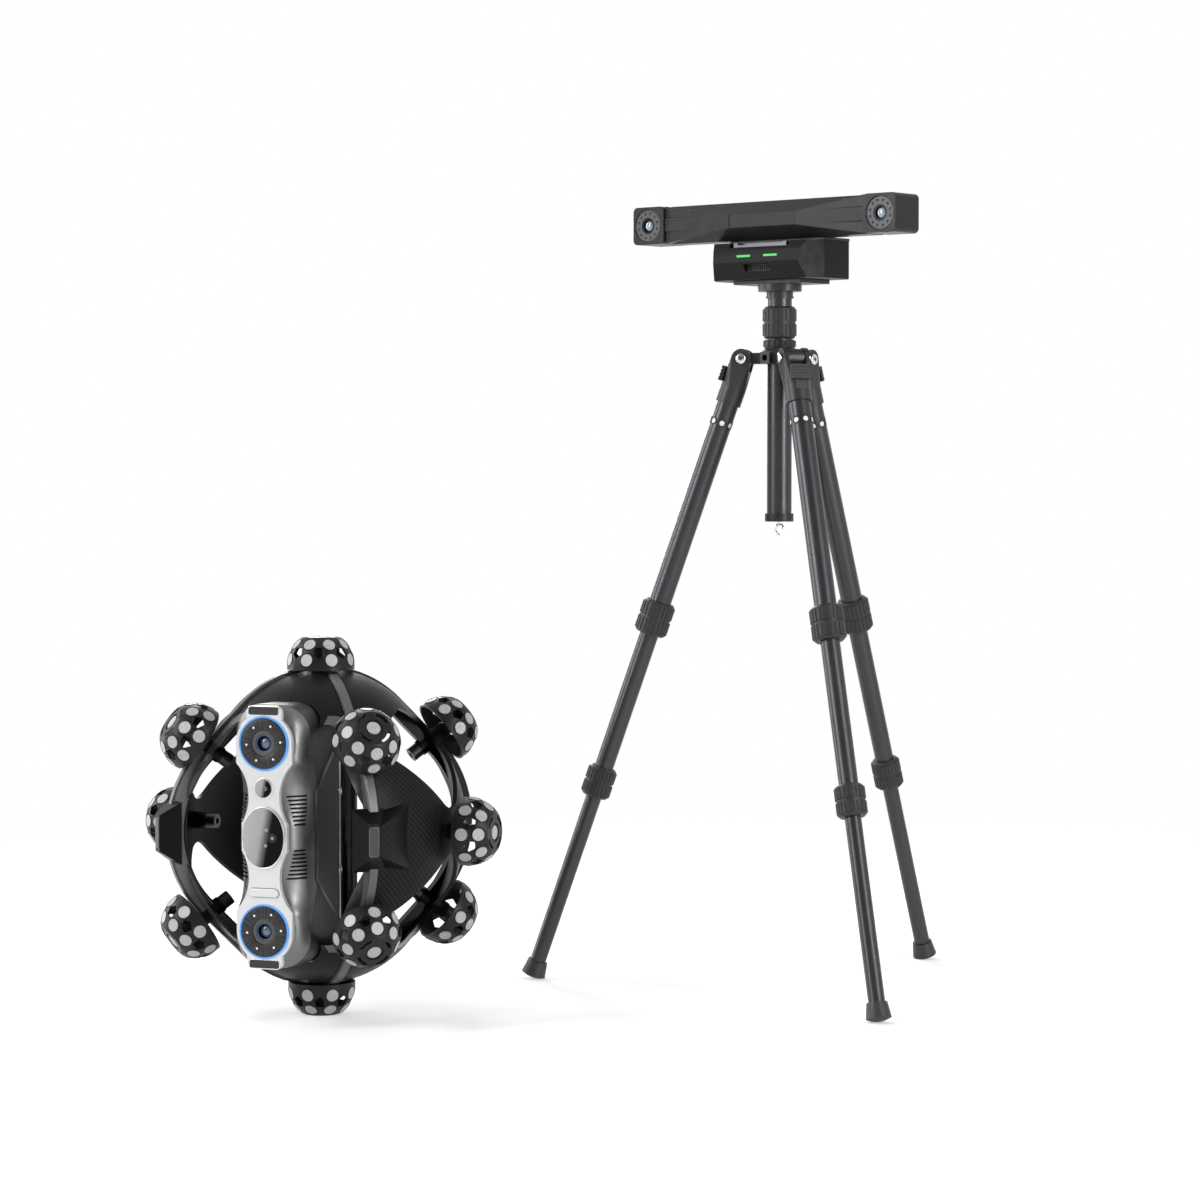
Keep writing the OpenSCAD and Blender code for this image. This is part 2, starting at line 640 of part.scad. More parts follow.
module rear_grip() color([0.07, 0.07, 0.07]) on_scanner() difference() {
  union() {
    front_to_back(shell_back, grip_step) body_outline(-0.6);
    front_to_back(grip_step, grip_back) rounded(56, body_height - 30, 24);
  }
  for (s = [-1, 1]) for (k = [0:4]) translate([s * (body_width / 2 - 0.6), -26 + 6 * k, 0])
    cube([2, 2.5, 170], center = true);
  // The hollow behind the side shells, and one in the handle
  front_to_back(shell_back - 1, grip_step - 4) rounded(body_width - 8, body_height - 14, 26);
  front_to_back(grip_step - 5, grip_back - 8) rounded(46, body_height - 40, 19);
  // The groove of the bright trim line on each side
  for (s = [-1, 1]) translate([s * (body_width / 2 - 0.6), -36, 0]) cube([1.6, 1.4, 186], center = true);
  front_to_back(grip_back - 4.5, grip_back + 1) translate([0, 34]) circle(r = 9.3);
  front_to_back(grip_back - 4.5, grip_back + 1) translate([0, 8]) circle(r = 6.3);
  front_to_back(grip_back - 6, grip_back + 1) translate([0, -78]) rounded(10, 4, 1.9);
}

module scan_button() color([0.5, 0.5, 0.52]) on_scanner()
  front_to_back(grip_back - 2.5, grip_back + 2.5) translate([0, 34]) circle(r = 9);

module mode_button() color([0.3, 0.3, 0.32]) on_scanner()
  front_to_back(grip_back - 2.5, grip_back + 2) translate([0, 8]) circle(r = 6);

tripod_hub();
pivot_bolts();
column_collar();
column_lock();
column_tube();
column_cap();
ballast_hook();
head_plate();
leg_shoulder(0);  // left_leg_shoulder
leg_angle_tab(0);  // left_leg_angle_tab
leg_upper_tube(0);  // left_leg_upper_tube
leg_upper_lock(0);  // left_leg_upper_lock
leg_middle_tube(0);  // left_leg_middle_tube
leg_lower_lock(0);  // left_leg_lower_lock
leg_lower_tube(0);  // left_leg_lower_tube
leg_foot(0);  // left_leg_foot
leg_shoulder(1);  // front_leg_shoulder
leg_angle_tab(1);  // front_leg_angle_tab
leg_upper_tube(1);  // front_leg_upper_tube
leg_upper_lock(1);  // front_leg_upper_lock
leg_middle_tube(1);  // front_leg_middle_tube
leg_lower_lock(1);  // front_leg_lower_lock
leg_lower_tube(1);  // front_leg_lower_tube
leg_foot(1);  // front_leg_foot
leg_shoulder(2);  // right_leg_shoulder
leg_angle_tab(2);  // right_leg_angle_tab
leg_upper_tube(2);  // right_leg_upper_tube
leg_upper_lock(2);  // right_leg_upper_lock
leg_middle_tube(2);  // right_leg_middle_tube
leg_lower_lock(2);  // right_leg_lower_lock
leg_lower_tube(2);  // right_leg_lower_tube
leg_foot(2);  // right_leg_foot
tracker_plate();
tracker_base();
base_vent();
status_lights();
saddle_rail();
bar_mount_plate();
bar_shell();
camera_blocks();
camera_rings();
camera_lenses();
marker_cage();
marker_domes();
marker_dots();
dome_screws();
hub_pads();
front_plate();
left_side_shell();
right_side_shell();
rear_grip();
lens_rings();
lens_discs();
scanner_lenses();
projector_window();
texture_camera();
front_pill();
end_pads();
scan_button();
mode_button();
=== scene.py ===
# %% [markdown]
# # A tracked hand scanner and its tripod tracker
# The solids come from the part's own CAD source. This lesson dresses them: it smooths and
# rounds the mouldings, adds the small pieces that a maker would glue or screw on, mixes a
# finish for every surface, and sets a plain studio round the set.

# %% Load the solids
import json
import math

import bpy
from mathutils import Matrix, Vector

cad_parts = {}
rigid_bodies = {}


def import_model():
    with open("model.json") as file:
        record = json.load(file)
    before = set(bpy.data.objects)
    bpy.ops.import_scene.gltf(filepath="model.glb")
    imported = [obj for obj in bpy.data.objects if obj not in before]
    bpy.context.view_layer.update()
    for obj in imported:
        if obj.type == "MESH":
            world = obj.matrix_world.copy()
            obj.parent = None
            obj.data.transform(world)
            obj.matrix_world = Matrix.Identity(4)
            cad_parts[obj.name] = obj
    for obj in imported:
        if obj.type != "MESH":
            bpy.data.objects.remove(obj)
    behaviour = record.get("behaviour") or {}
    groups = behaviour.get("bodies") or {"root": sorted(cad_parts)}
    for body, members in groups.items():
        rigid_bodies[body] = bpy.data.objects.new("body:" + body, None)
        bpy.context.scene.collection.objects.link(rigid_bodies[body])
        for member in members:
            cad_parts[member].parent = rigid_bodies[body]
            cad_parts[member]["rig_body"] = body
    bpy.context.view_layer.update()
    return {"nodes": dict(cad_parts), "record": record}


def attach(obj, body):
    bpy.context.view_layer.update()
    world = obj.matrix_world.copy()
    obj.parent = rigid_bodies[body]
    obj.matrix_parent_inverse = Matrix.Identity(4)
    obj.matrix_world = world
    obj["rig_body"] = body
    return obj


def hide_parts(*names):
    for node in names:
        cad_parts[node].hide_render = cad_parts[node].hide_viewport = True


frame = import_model()
nodes = frame["nodes"]

# %% [markdown]
# ## Camera
# A product photo of this kind is taken from far away with a long lens, so the tripod's legs
# hardly converge. The camera stands 3.5 m off, a little above the scanner, and turns slightly
# left and down so that the tripod sits right of the middle. A constraint could aim it, but two
# small angles say the same and are easy to change.

# %% Camera
VIEW_TURN = math.radians(38)
LOOK_LEFT = math.radians(2.93)
LOOK_DOWN = math.radians(2.23)
CAMERA_FAR = 3.5
CAMERA_HIGH = 0.523
camera_data = bpy.data.cameras.new("camera")
camera_data.lens = 105
camera_data.sensor_width = 36
camera = bpy.data.objects.new("camera", camera_data)
camera.location = (CAMERA_FAR * math.sin(VIEW_TURN), -CAMERA_FAR * math.cos(VIEW_TURN), CAMERA_HIGH)
camera.rotation_euler = (math.radians(90) - LOOK_DOWN, 0, VIEW_TURN + LOOK_LEFT)
bpy.context.scene.collection.objects.link(camera)
bpy.context.scene.camera = camera
bpy.context.scene.view_settings.view_transform = "Standard"
print("camera at", [round(v, 3) for v in camera.location])

# %% [markdown]
# ## Working helpers
# An operator acts on everything that is selected, so each piece starts from an empty
# selection. A finished piece keeps its place in its mesh, with its object at the origin.
# Lengths of the set are written in millimetres, and MM turns them into Blender's metres. The
# camera, the floor and the lights are placed in metres.

# %% Frames of the scanner, the tripod and its legs
MM = 0.001
IDENTITY = Matrix.Identity(4)
CAGE_POINT = 42
CAGE_ROUND = 110
DOME_AT = CAGE_POINT + CAGE_ROUND + 0.6
DOME_ROUND = 32
DOME_FLAT = 0.84 * DOME_ROUND
SCANNER_X = -219
SCANNER_Y = -425
SCANNER_TURN = 19.5
LEG_AZIMUTH = {"left": -150, "front": -30, "right": 90}
LEG_TILT = 19
PIVOT_OUT = 36.7
SOLE_AT = 636
SOLE_ROUND = 26


def turned(degrees, axis):
    return Matrix.Rotation(math.radians(degrees), 4, axis)


def at(x, y, z):
    return Matrix.Translation((x * MM, y * MM, z * MM))


SCANNER = at(SCANNER_X, SCANNER_Y, DOME_AT + DOME_FLAT) @ turned(SCANNER_TURN, "Z")
TRIPOD = at(0, 0, SOLE_AT * math.cos(math.radians(LEG_TILT)) + SOLE_ROUND)


def leg_matrix(side):
    """The frame of one leg: pivot at the origin, foot towards -Z, outer face towards +X."""
    return TRIPOD @ turned(LEG_AZIMUTH[side], "Z") @ at(PIVOT_OUT, 0, 0) @ turned(-LEG_TILT, "Y")


print("scanner at", [round(v, 3) for v in SCANNER.to_translation()])


# %% Selection and placing
def start_clean():
    """Leaves edit mode and empties the selection."""
    if bpy.context.object and bpy.context.object.mode != "OBJECT":
        bpy.ops.object.mode_set(mode="OBJECT")
    bpy.ops.object.select_all(action="DESELECT")


def pick(piece):
    start_clean()
    piece.select_set(True)
    bpy.context.view_layer.objects.active = piece


def settle(piece, name, matrix, body, material):
    """Moves a piece's place into its mesh, names it, and lets it ride on a body."""
    piece.name = name
    piece.data.transform(matrix @ piece.matrix_basis)
    piece.matrix_basis = IDENTITY
    piece.data.materials.clear()
    piece.data.materials.append(material)
    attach(piece, body)
    return piece


def join(pieces):
    start_clean()
    for piece in pieces:
        piece.select_set(True)
    bpy.context.view_layer.objects.active = pieces[0]
    bpy.ops.object.join()
    return pieces[0]


def apply_modifier(piece, kind, **settings):
    pick(piece)
    modifier = piece.modifiers.new(kind.lower(), kind)
    for key, value in settings.items():
        setattr(modifier, key, value)
    bpy.ops.object.modifier_apply(modifier=modifier.name)


def smooth(piece, degrees):
    """Smooth shading, but for edges where the faces meet at more than an angle."""
    pick(piece)
    bpy.ops.object.shade_smooth_by_angle(angle=math.radians(degrees))


# %% [markdown]
# ## Finishes
# The plain finishes are mixed from nodes on Object coordinates, so each stays where it is on
# its piece. Each has a slow drift of tone, and most have a fine grain, since no moulding or
# coating is even. Images could do this too, but they need every piece unwrapped, and noise in
# space has no seams.

# %% Finish helpers
ROUGH_DRIFT = 0.12


def new_finish(name):
    material = bpy.data.materials.new(name)
    material.use_nodes = True
    tree = material.node_tree
    shader = tree.nodes["Principled BSDF"]
    return material, tree, shader


def add_node(tree, kind, **inputs):
    node = tree.nodes.new(kind)
    for key, value in inputs.items():
        node.inputs[key.replace("_", " ")].default_value = value
    return node


def noise(tree, scale, detail=3):
    where = tree.nodes.new("ShaderNodeTexCoord")
    texture = add_node(tree, "ShaderNodeTexNoise", Scale=scale, Detail=detail)
    tree.links.new(where.outputs["Object"], texture.inputs["Vector"])
    return texture


def between(tree, factor, low, high):
    """A colour that goes from low to high as the factor goes from 0.3 to 0.7."""
    ramp = tree.nodes.new("ShaderNodeValToRGB")
    ramp.color_ramp.elements[0].position = 0.3
    ramp.color_ramp.elements[1].position = 0.7
    ramp.color_ramp.elements[0].color = (*low, 1)
    ramp.color_ramp.elements[1].color = (*high, 1)
    tree.links.new(factor, ramp.inputs["Fac"])
    return ramp.outputs["Color"]


def spread(tree, factor, low, high):
    """A number that goes from low to high as the factor goes from 0.3 to 0.7."""
    scale = add_node(tree, "ShaderNodeMapRange", From_Min=0.3, From_Max=0.7, To_Min=low, To_Max=high)
    tree.links.new(factor, scale.inputs["Value"])
    return scale.outputs["Result"]


def grain(tree, shader, scale, depth, strength):
    bump = add_node(tree, "ShaderNodeBump", Strength=strength, Distance=depth)
    tree.links.new(noise(tree, scale, 4).outputs["Fac"], bump.inputs["Height"])
    tree.links.new(bump.outputs["Normal"], shader.inputs["Normal"])


def coat(name, colour, rough, metal=0.0, drift=0.15, tone=18, grit=900, depth=0.04, strength=0.4, gloss=0.5):
    """A paint, moulding or metal: tone and roughness drift slowly, over a grain whose depth is in mm."""
    material, tree, shader = new_finish(name)
    slow = noise(tree, tone).outputs["Fac"]
    low = [c * (1 - drift) for c in colour]
    high = [min(1, c * (1 + drift)) for c in colour]
    tree.links.new(between(tree, slow, low, high), shader.inputs["Base Color"])
    fine = noise(tree, 120).outputs["Fac"]
    roughness = spread(tree, fine, rough * (1 - ROUGH_DRIFT), rough * (1 + ROUGH_DRIFT))
    tree.links.new(roughness, shader.inputs["Roughness"])
    shader.inputs["Metallic"].default_value = metal
    shader.inputs["Specular IOR Level"].default_value = gloss
    if depth:
        grain(tree, shader, grit, depth * MM, strength)
    return material


def lit(name, colour, strength):
    """A surface that glows by itself, a little unevenly."""
    material, tree, shader = new_finish(name)
    glow = between(tree, noise(tree, 60).outputs["Fac"], [c * 0.85 for c in colour], colour)
    tree.links.new(glow, shader.inputs["Emission Color"])
    shader.inputs["Base Color"].default_value = (*[c * 0.1 for c in colour], 1)
    shader.inputs["Emission Strength"].default_value = strength
    shader.inputs["Roughness"].default_value = 0.3
    return material


# %% Plain finishes
mixes = {
    "hub_casting": dict(colour=(0.05, 0.048, 0.052), rough=0.4, metal=0.5, drift=0.06, grit=1400, gloss=0.3),
    "bolt_chrome": dict(colour=(0.72, 0.72, 0.74), rough=0.14, metal=1.0, drift=0.05, depth=0),
    "collar_black": dict(colour=(0.02, 0.0195, 0.021), rough=0.42, metal=0.3, gloss=0.35),
    "grip_rubber": dict(colour=(0.024, 0.023, 0.0248), rough=0.5, tone=40, depth=0.05, gloss=0.4),
    "tube_black": dict(colour=(0.058, 0.056, 0.0605), rough=0.34, metal=0.75, drift=0.05, tone=14, depth=0,
                       gloss=0.4),
    "tab_plastic": dict(colour=(0.012, 0.012, 0.012), rough=0.4),
    "foot_rubber": dict(colour=(0.022, 0.0215, 0.0225), rough=0.5, drift=0.2, tone=50, grit=800, depth=0.06,
                        strength=0.5),
    "tracker_black": dict(colour=(0.007, 0.007, 0.0076), rough=0.42, drift=0.04, tone=10, grit=1500,
                          depth=0.03, strength=0.25, gloss=0.14),
    "plate_black": dict(colour=(0.014, 0.014, 0.015), rough=0.42),
    "vent_black": dict(colour=(0.006, 0.006, 0.006), rough=0.6),
    "rail_metal": dict(colour=(0.15, 0.15, 0.157), rough=0.34, metal=1.0, drift=0.08),
    "ring_grey": dict(colour=(0.08, 0.0785, 0.0815), rough=0.4, metal=0.4, gloss=0.3),
    "screw_black": dict(colour=(0.01, 0.01, 0.011), rough=0.4),
    "pad_black": dict(colour=(0.018, 0.018, 0.019), rough=0.38),
    "grip_black": dict(colour=(0.012, 0.012, 0.013), rough=0.45),
    "button_grey": dict(colour=(0.2, 0.2, 0.21), rough=0.4),
    "pill_white": dict(colour=(0.72, 0.73, 0.74), rough=0.34, metal=0.2, drift=0.04, depth=0),
    "dome_black": dict(colour=(0.016, 0.0152, 0.0156), rough=0.38, metal=0.25, drift=0.12, tone=30, grit=1200,
                       depth=0.03, strength=0.3, gloss=0.26),
    "plate_silver": dict(colour=(0.72, 0.723, 0.73), rough=0.34, metal=0.6, drift=0.03, tone=12, depth=0),
    "shell_gunmetal": dict(colour=(0.05, 0.051, 0.0525), rough=0.36, metal=0.5, drift=0.08, tone=9, grit=2000,
                           depth=0.02, strength=0.3),
    "dot_reflector": dict(colour=(0.43, 0.433, 0.44), rough=0.5, metal=0.1, drift=0.12, tone=400, grit=1500,
                          depth=0.08, strength=0.6),
    "lens_glass": dict(colour=(0.006, 0.008, 0.016), rough=0.18, metal=0.2, drift=0.2, depth=0),
}
finish = {name: coat(name, **mix) for name, mix in mixes.items()}
finish["status_green"] = lit("status_green", (0.09, 0.78, 0.16), 1.0)
finish["ring_blue"] = lit("ring_blue", (0.09, 0.36, 0.9), 1.0)
print("mixed", len(finish), "plain finishes")

# %% [markdown]
# ## Finishes that follow a shape
# The cage is woven carbon fibre. Its weave is drawn on angles round the cage's middle, so
# the tows run evenly over the curved panels, where a flat pattern would stretch. The turned
# faces and the window also need the scanner's own directions: the window's black glass has a
# painted reflection, grey on its left. A lens has a painted sheen, and needs only to know how
# far its surface turns away from the eye.

# %% The scanner's own directions
def scanner_axes(tree):
    """The scanner's own x, y and z, in metres, from Object coordinates."""
    where = tree.nodes.new("ShaderNodeTexCoord")
    own = tree.nodes.new("ShaderNodeMapping")
    own.vector_type = "TEXTURE"
    own.inputs["Location"].default_value = SCANNER.to_translation()
    own.inputs["Rotation"].default_value = SCANNER.to_euler()
    tree.links.new(where.outputs["Object"], own.inputs["Vector"])
    axes = tree.nodes.new("ShaderNodeSeparateXYZ")
    tree.links.new(own.outputs["Vector"], axes.inputs["Vector"])
    return axes.outputs["X"], axes.outputs["Y"], axes.outputs["Z"]


def maths(tree, operation, first, second=None):
    node = tree.nodes.new("ShaderNodeMath")
    node.operation = operation
    for socket, value in zip(node.inputs, (first, second)):
        if isinstance(value, (int, float)):
            socket.default_value = value
        elif value is not None:
            tree.links.new(value, socket)
    return node.outputs["Value"]


# %% Carbon twill
def faces_out(tree):
    """1 where a surface faces away from the cage's middle, 0 on its flanks and edges."""
    where = tree.nodes.new("ShaderNodeTexCoord")
    ray = tree.nodes.new("ShaderNodeVectorMath")
    ray.operation = "SUBTRACT"
    ray.inputs[1].default_value = SCANNER.to_translation()
    tree.links.new(where.outputs["Object"], ray.inputs[0])
    unit = tree.nodes.new("ShaderNodeVectorMath")
    unit.operation = "NORMALIZE"
    tree.links.new(ray.outputs["Vector"], unit.inputs[0])
    dot = tree.nodes.new("ShaderNodeVectorMath")
    dot.operation = "DOT_PRODUCT"
    tree.links.new(unit.outputs["Vector"], dot.inputs[0])
    tree.links.new(where.outputs["Normal"], dot.inputs[1])
    step = add_node(tree, "ShaderNodeMapRange", From_Min=0.8, From_Max=0.9)
    tree.links.new(dot.outputs["Value"], step.inputs["Value"])
    return step.outputs["Result"]


def carbon_twill(name, tow, radius):
    """Two-over, two-under twill: each tow shows as a small raised bar in a diagonal step."""
    material, tree, shader = new_finish(name)
    x, y, z = scanner_axes(tree)
    squares = maths(tree, "ADD", maths(tree, "MULTIPLY", x, x), maths(tree, "MULTIPLY", y, y))
    across = maths(tree, "MULTIPLY", maths(tree, "ARCTAN2", y, x), radius / tow)
    up = maths(tree, "MULTIPLY", maths(tree, "ARCTAN2", z, maths(tree, "SQRT", squares)), radius / tow)
    step = maths(tree, "ADD", maths(tree, "FLOOR", across), maths(tree, "FLOOR", up))
    warp = maths(tree, "LESS_THAN", maths(tree, "FLOORED_MODULO", step, 4.0), 1.5)
    crown_up = maths(tree, "SINE", maths(tree, "MULTIPLY", maths(tree, "FRACT", across), math.pi))
    crown_across = maths(tree, "SINE", maths(tree, "MULTIPLY", maths(tree, "FRACT", up), math.pi))
    height = tree.nodes.new("ShaderNodeMix")
    tree.links.new(warp, height.inputs["Factor"])
    tree.links.new(crown_across, height.inputs["A"])
    tree.links.new(crown_up, height.inputs["B"])
    woven = faces_out(tree)
    bump = add_node(tree, "ShaderNodeBump", Strength=0.3, Distance=0.1 * tow)
    tree.links.new(maths(tree, "MULTIPLY", height.outputs["Result"], woven), bump.inputs["Height"])
    tree.links.new(bump.outputs["Normal"], shader.inputs["Normal"])
    shine = maths(tree, "MULTIPLY", maths(tree, "MULTIPLY", warp, woven), 0.34)
    tone = maths(tree, "ADD", shine, maths(tree, "MULTIPLY", noise(tree, 22).outputs["Fac"], 0.5))
    black = between(tree, tone, (0.004, 0.004, 0.0046), (0.017, 0.017, 0.019))
    tree.links.new(black, shader.inputs["Base Color"])
    tree.links.new(spread(tree, tone, 0.36, 0.46), shader.inputs["Roughness"])
    shader.inputs["Specular IOR Level"].default_value = 0.09
    shader.inputs["Coat Weight"].default_value = 0.03
    shader.inputs["Coat Roughness"].default_value = 0.3
    return material


finish["cage_carbon"] = carbon_twill("cage_carbon", tow=1.5 * MM, radius=140 * MM)
print("wove the cage's twill")

# %% Turned lens faces, window and lenses
LENS_Z = 86.75
CAMERA_Z = 45.4
REFLECTION_LEAN = 0.2


def turned_face(name):
    """A black face with fine rays round each of the two lenses."""
    material, tree, shader = new_finish(name)
    x, y, z = scanner_axes(tree)
    rise = maths(tree, "SUBTRACT", maths(tree, "ABSOLUTE", z), LENS_Z * MM)
    rays = tree.nodes.new("ShaderNodeTexNoise")
    rays.noise_dimensions = "1D"
    rays.inputs["Scale"].default_value = 14
    rays.inputs["Detail"].default_value = 5
    tree.links.new(maths(tree, "ARCTAN2", rise, x), rays.inputs["W"])
    black = between(tree, rays.outputs["Fac"], (0.006, 0.006, 0.007), (0.05, 0.05, 0.055))
    tree.links.new(black, shader.inputs["Base Color"])
    tree.links.new(spread(tree, rays.outputs["Fac"], 0.28, 0.45), shader.inputs["Roughness"])
    shader.inputs["Metallic"].default_value = 0.4
    return material


def painted_reflection_window(name, half, height):
    """Black glass of a half width at a height, with a painted reflection: grey painted on its left, fading to
    black on its right.
    """
    material, tree, shader = new_finish(name)
    x, y, z = scanner_axes(tree)
    rise = maths(tree, "SUBTRACT", z, height * MM)
    slant = maths(tree, "ADD", x, maths(tree, "MULTIPLY", rise, -REFLECTION_LEAN))
    ramp = tree.nodes.new("ShaderNodeValToRGB")
    stops = ramp.color_ramp.elements
    stops[0].color = (0.44, 0.44, 0.45, 1)
    stops[1].color = (0.004, 0.004, 0.005, 1)
    for place, tone in ((0.42, 0.37), (0.53, 0.14), (0.64, 0.005)):
        stop = stops.new(place)
        stop.color = (tone, tone, tone, 1)
    along = add_node(tree, "ShaderNodeMapRange", From_Min=-half * MM, From_Max=half * MM)
    tree.links.new(slant, along.inputs["Value"])
    tree.links.new(along.outputs["Result"], ramp.inputs["Fac"])
    tree.links.new(ramp.outputs["Color"], shader.inputs["Base Color"])
    shader.inputs["Roughness"].default_value = 0.06
    shader.inputs["Specular IOR Level"].default_value = 0.08
    return material


def lens_with_painted_sheen(name, middle, rim):
    """Lens glass with a coating tint and a painted sheen: a cool bright middle where it faces the eye,
    deepening where it turns away.
    """
    material, tree, shader = new_finish(name)
    facing = tree.nodes.new("ShaderNodeLayerWeight")
    facing.inputs["Blend"].default_value = 0.5
    tree.links.new(between(tree, facing.outputs["Facing"], middle, rim), shader.inputs["Base Color"])
    shader.inputs["Roughness"].default_value = 0.04
    shader.inputs["Coat Weight"].default_value = 1.0
    shader.inputs["Coat Roughness"].default_value = 0.02
    return material


finish["disc_black"] = turned_face("disc_black")
# The window and the camera's glass carry a painted reflection: a grey band painted on the left of the black
# glass.
finish["window_gloss"] = painted_reflection_window("window_gloss", 21.5, 0)
camera_glass = painted_reflection_window("camera_glass", 9.5, CAMERA_Z)
# Both lenses carry a painted sheen: their colour is brightest where the glass faces the eye.
lens_blue = lens_with_painted_sheen("lens_blue", (0.10, 0.16, 0.22), (0.008, 0.02, 0.09))
lens_pale = lens_with_painted_sheen("lens_pale", (0.3, 0.38, 0.43), (0.004, 0.008, 0.014))
print("made", len(finish), "finishes for the solids")

# %% [markdown]
# ## Finishes of the added pieces
# Trims, lamps and films that the next steps add have finishes of their own. They are mixed
# like the plain ones, so that the same light shows them as paint, steel or film.

# %% Finishes of the added pieces
# rim_grey also paints the highlight strips on the front arms and the flange beside the front opening.
rim_grey = coat("rim_grey", (0.105, 0.104, 0.11), rough=0.36, metal=0.3, drift=0.12, tone=14, grit=1500,
                depth=0.02, strength=0.25)
# bevel_steel is also laid on the side panels' chamfers, as their painted highlight.
bevel_steel = coat("bevel_steel", (0.19, 0.19, 0.192), rough=0.42, metal=0.85, drift=0.05, tone=6, grit=2200,
                   depth=0.02, strength=0.25)
bar_anodised = coat("bar_anodised", (0.026, 0.025, 0.027), rough=0.36, metal=0.55, drift=0.08, tone=10,
                    grit=2000, depth=0.02, strength=0.3, gloss=0.3)
bright_trim = coat("bright_trim", (0.78, 0.78, 0.8), rough=0.2, metal=0.9, drift=0.04, depth=0)
film_white = coat("film_white", (0.78, 0.78, 0.79), rough=0.45, drift=0.05, tone=200, grit=1500)
seat_shadow = coat("seat_shadow", (0.02, 0.028, 0.06), rough=0.5, depth=0)
lamp_cream = lit("lamp_cream", (0.8, 0.74, 0.62), 0.32)
lamp_white = lit("lamp_white", (0.95, 0.96, 1.0), 1.0)
# The lens barrels are no lamps: their blue glow is painted.
barrel_blue_painted_glow = lit("barrel_blue_painted_glow", (0.08, 0.22, 0.75), 0.5)
print("mixed the finishes of the added pieces")

# %% [markdown]
# ## Dressing the solids
# The solids already carry smooth normals, so most only need a finish. A box-like moulding
# also needs rounded edges, because an edge with no round catches no light: a copy of it is
# merged, its flat faces are made whole again, its edges are bevelled, and it stands for the
# solid. The grip's copy is also drawn in to the width of the body.

# %% Finishes on the solids
slot_of = {part["node"]: part["material_slot"] for part in frame["record"]["subparts"]}
finish_of = {node: finish[slot] for node, slot in slot_of.items()}
finish_of["bar_shell"] = finish_of["camera_blocks"] = bar_anodised
for node, solid in nodes.items():
    solid.data.materials.clear()
    solid.data.materials.append(finish_of[node])
print("finished", len(nodes), "solids")


# %% Rounded copies
def round_edges(node, rounding):
    """A merged copy of a CAD solid with its sharp edges rounded."""
    start_clean()
    solid = nodes[node]
    piece = solid.copy()
    piece.data = solid.data.copy()
    for key in [key for key in piece.keys() if key.startswith("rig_")]:
        del piece[key]
    piece.parent = None
    bpy.context.scene.collection.objects.link(piece)
    pick(piece)
    bpy.ops.mesh.customdata_custom_splitnormals_clear()
    bpy.ops.object.mode_set(mode="EDIT")
    bpy.ops.mesh.select_all(action="SELECT")
    bpy.ops.mesh.remove_doubles(threshold=0.002 * MM)
    bpy.ops.mesh.dissolve_limited(angle_limit=math.radians(0.6))
    bpy.ops.object.mode_set(mode="OBJECT")
    apply_modifier(piece, "BEVEL", width=rounding * MM, segments=2, limit_method="ANGLE",
                   angle_limit=math.radians(28), miter_outer="MITER_ARC", harden_normals=True)
    smooth(piece, 30)
    apply_modifier(piece, "WEIGHTED_NORMAL", mode="FACE_AREA", keep_sharp=True, weight=100)
    settle(piece, node + "_rounded", IDENTITY, solid["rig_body"], finish_of[node])
    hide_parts(node)
    return piece


SOLID_HALF = 40
BODY_HALF = 36.5
EDGE_ROUND = {"tracker_base": 0.9, "bar_shell": 0.6, "camera_blocks": 0.9, "tracker_plate": 0.6,
              "bar_mount_plate": 0.5, "front_plate": 0.6, "rear_grip": 1.6}
rounded = {node: round_edges(node, rounding) for node, rounding in EDGE_ROUND.items()}
draw_in = Matrix.Diagonal((BODY_HALF / SOLID_HALF, 1, 1, 1))
rounded["rear_grip"].data.transform(SCANNER @ draw_in @ SCANNER.inverted())
print("rounded the edges of", len(rounded), "mouldings")

# %% [markdown]
# ## Small shapes to start from
# Rings, coins, frames and lenses come up again and again on an optical instrument. Each
# starts from a primitive, is inset, bevelled or cut, and faces +Z, so one matrix puts it on
# its seat.

# %% Coins, washers, frames and lenses
def coin(radius, depth, rounding, sides):
    """A disc that stands on its seat, with its rim rounded."""
    start_clean()
    bpy.ops.mesh.primitive_cylinder_add(vertices=sides, radius=radius * MM, depth=depth * MM,
                                        location=(0, 0, depth * MM / 2))
    bpy.ops.object.transform_apply()
    piece = bpy.context.object
    apply_modifier(piece, "BEVEL", width=rounding * MM, segments=2, limit_method="ANGLE")
    smooth(piece, 50)
    return piece


def hollow_out(piece, rim, depth):
    """Turns a flat outline into a frame: inset, inner face deleted, thickened."""
    pick(piece)
    bpy.ops.object.mode_set(mode="EDIT")
    bpy.ops.mesh.select_all(action="SELECT")
    bpy.ops.mesh.inset(thickness=rim * MM)
    bpy.ops.mesh.delete(type="FACE")
    bpy.ops.object.mode_set(mode="OBJECT")
    apply_modifier(piece, "SOLIDIFY", thickness=depth * MM, offset=1)
    apply_modifier(piece, "BEVEL", width=min(rim, depth) * 0.25 * MM, segments=2, limit_method="ANGLE")
    smooth(piece, 50)
    return piece


def washer(outer, inner, depth, sides=48):
    start_clean()
    bpy.ops.mesh.primitive_circle_add(vertices=sides, radius=outer * MM, fill_type="NGON")
    return hollow_out(bpy.context.object, outer - inner, depth)


def rounded_outline(wide, tall, corner, steps):
    """A flat rectangle with rounded corners."""
    start_clean()
    bpy.ops.mesh.primitive_plane_add(size=1)
    piece = bpy.context.object
    piece.scale = (wide * MM, tall * MM, 1)
    bpy.ops.object.transform_apply()
    bpy.ops.object.mode_set(mode="EDIT")
    bpy.ops.mesh.select_all(action="SELECT")
    bpy.ops.mesh.bevel(offset=corner * MM, segments=steps, affect="VERTICES")
    bpy.ops.object.mode_set(mode="OBJECT")
    return piece


def slot_frame(wide, tall, corner, rim, depth):
    """A frame round a rectangle with rounded corners."""
    return hollow_out(rounded_outline(wide, tall, corner, steps=5), rim, depth)


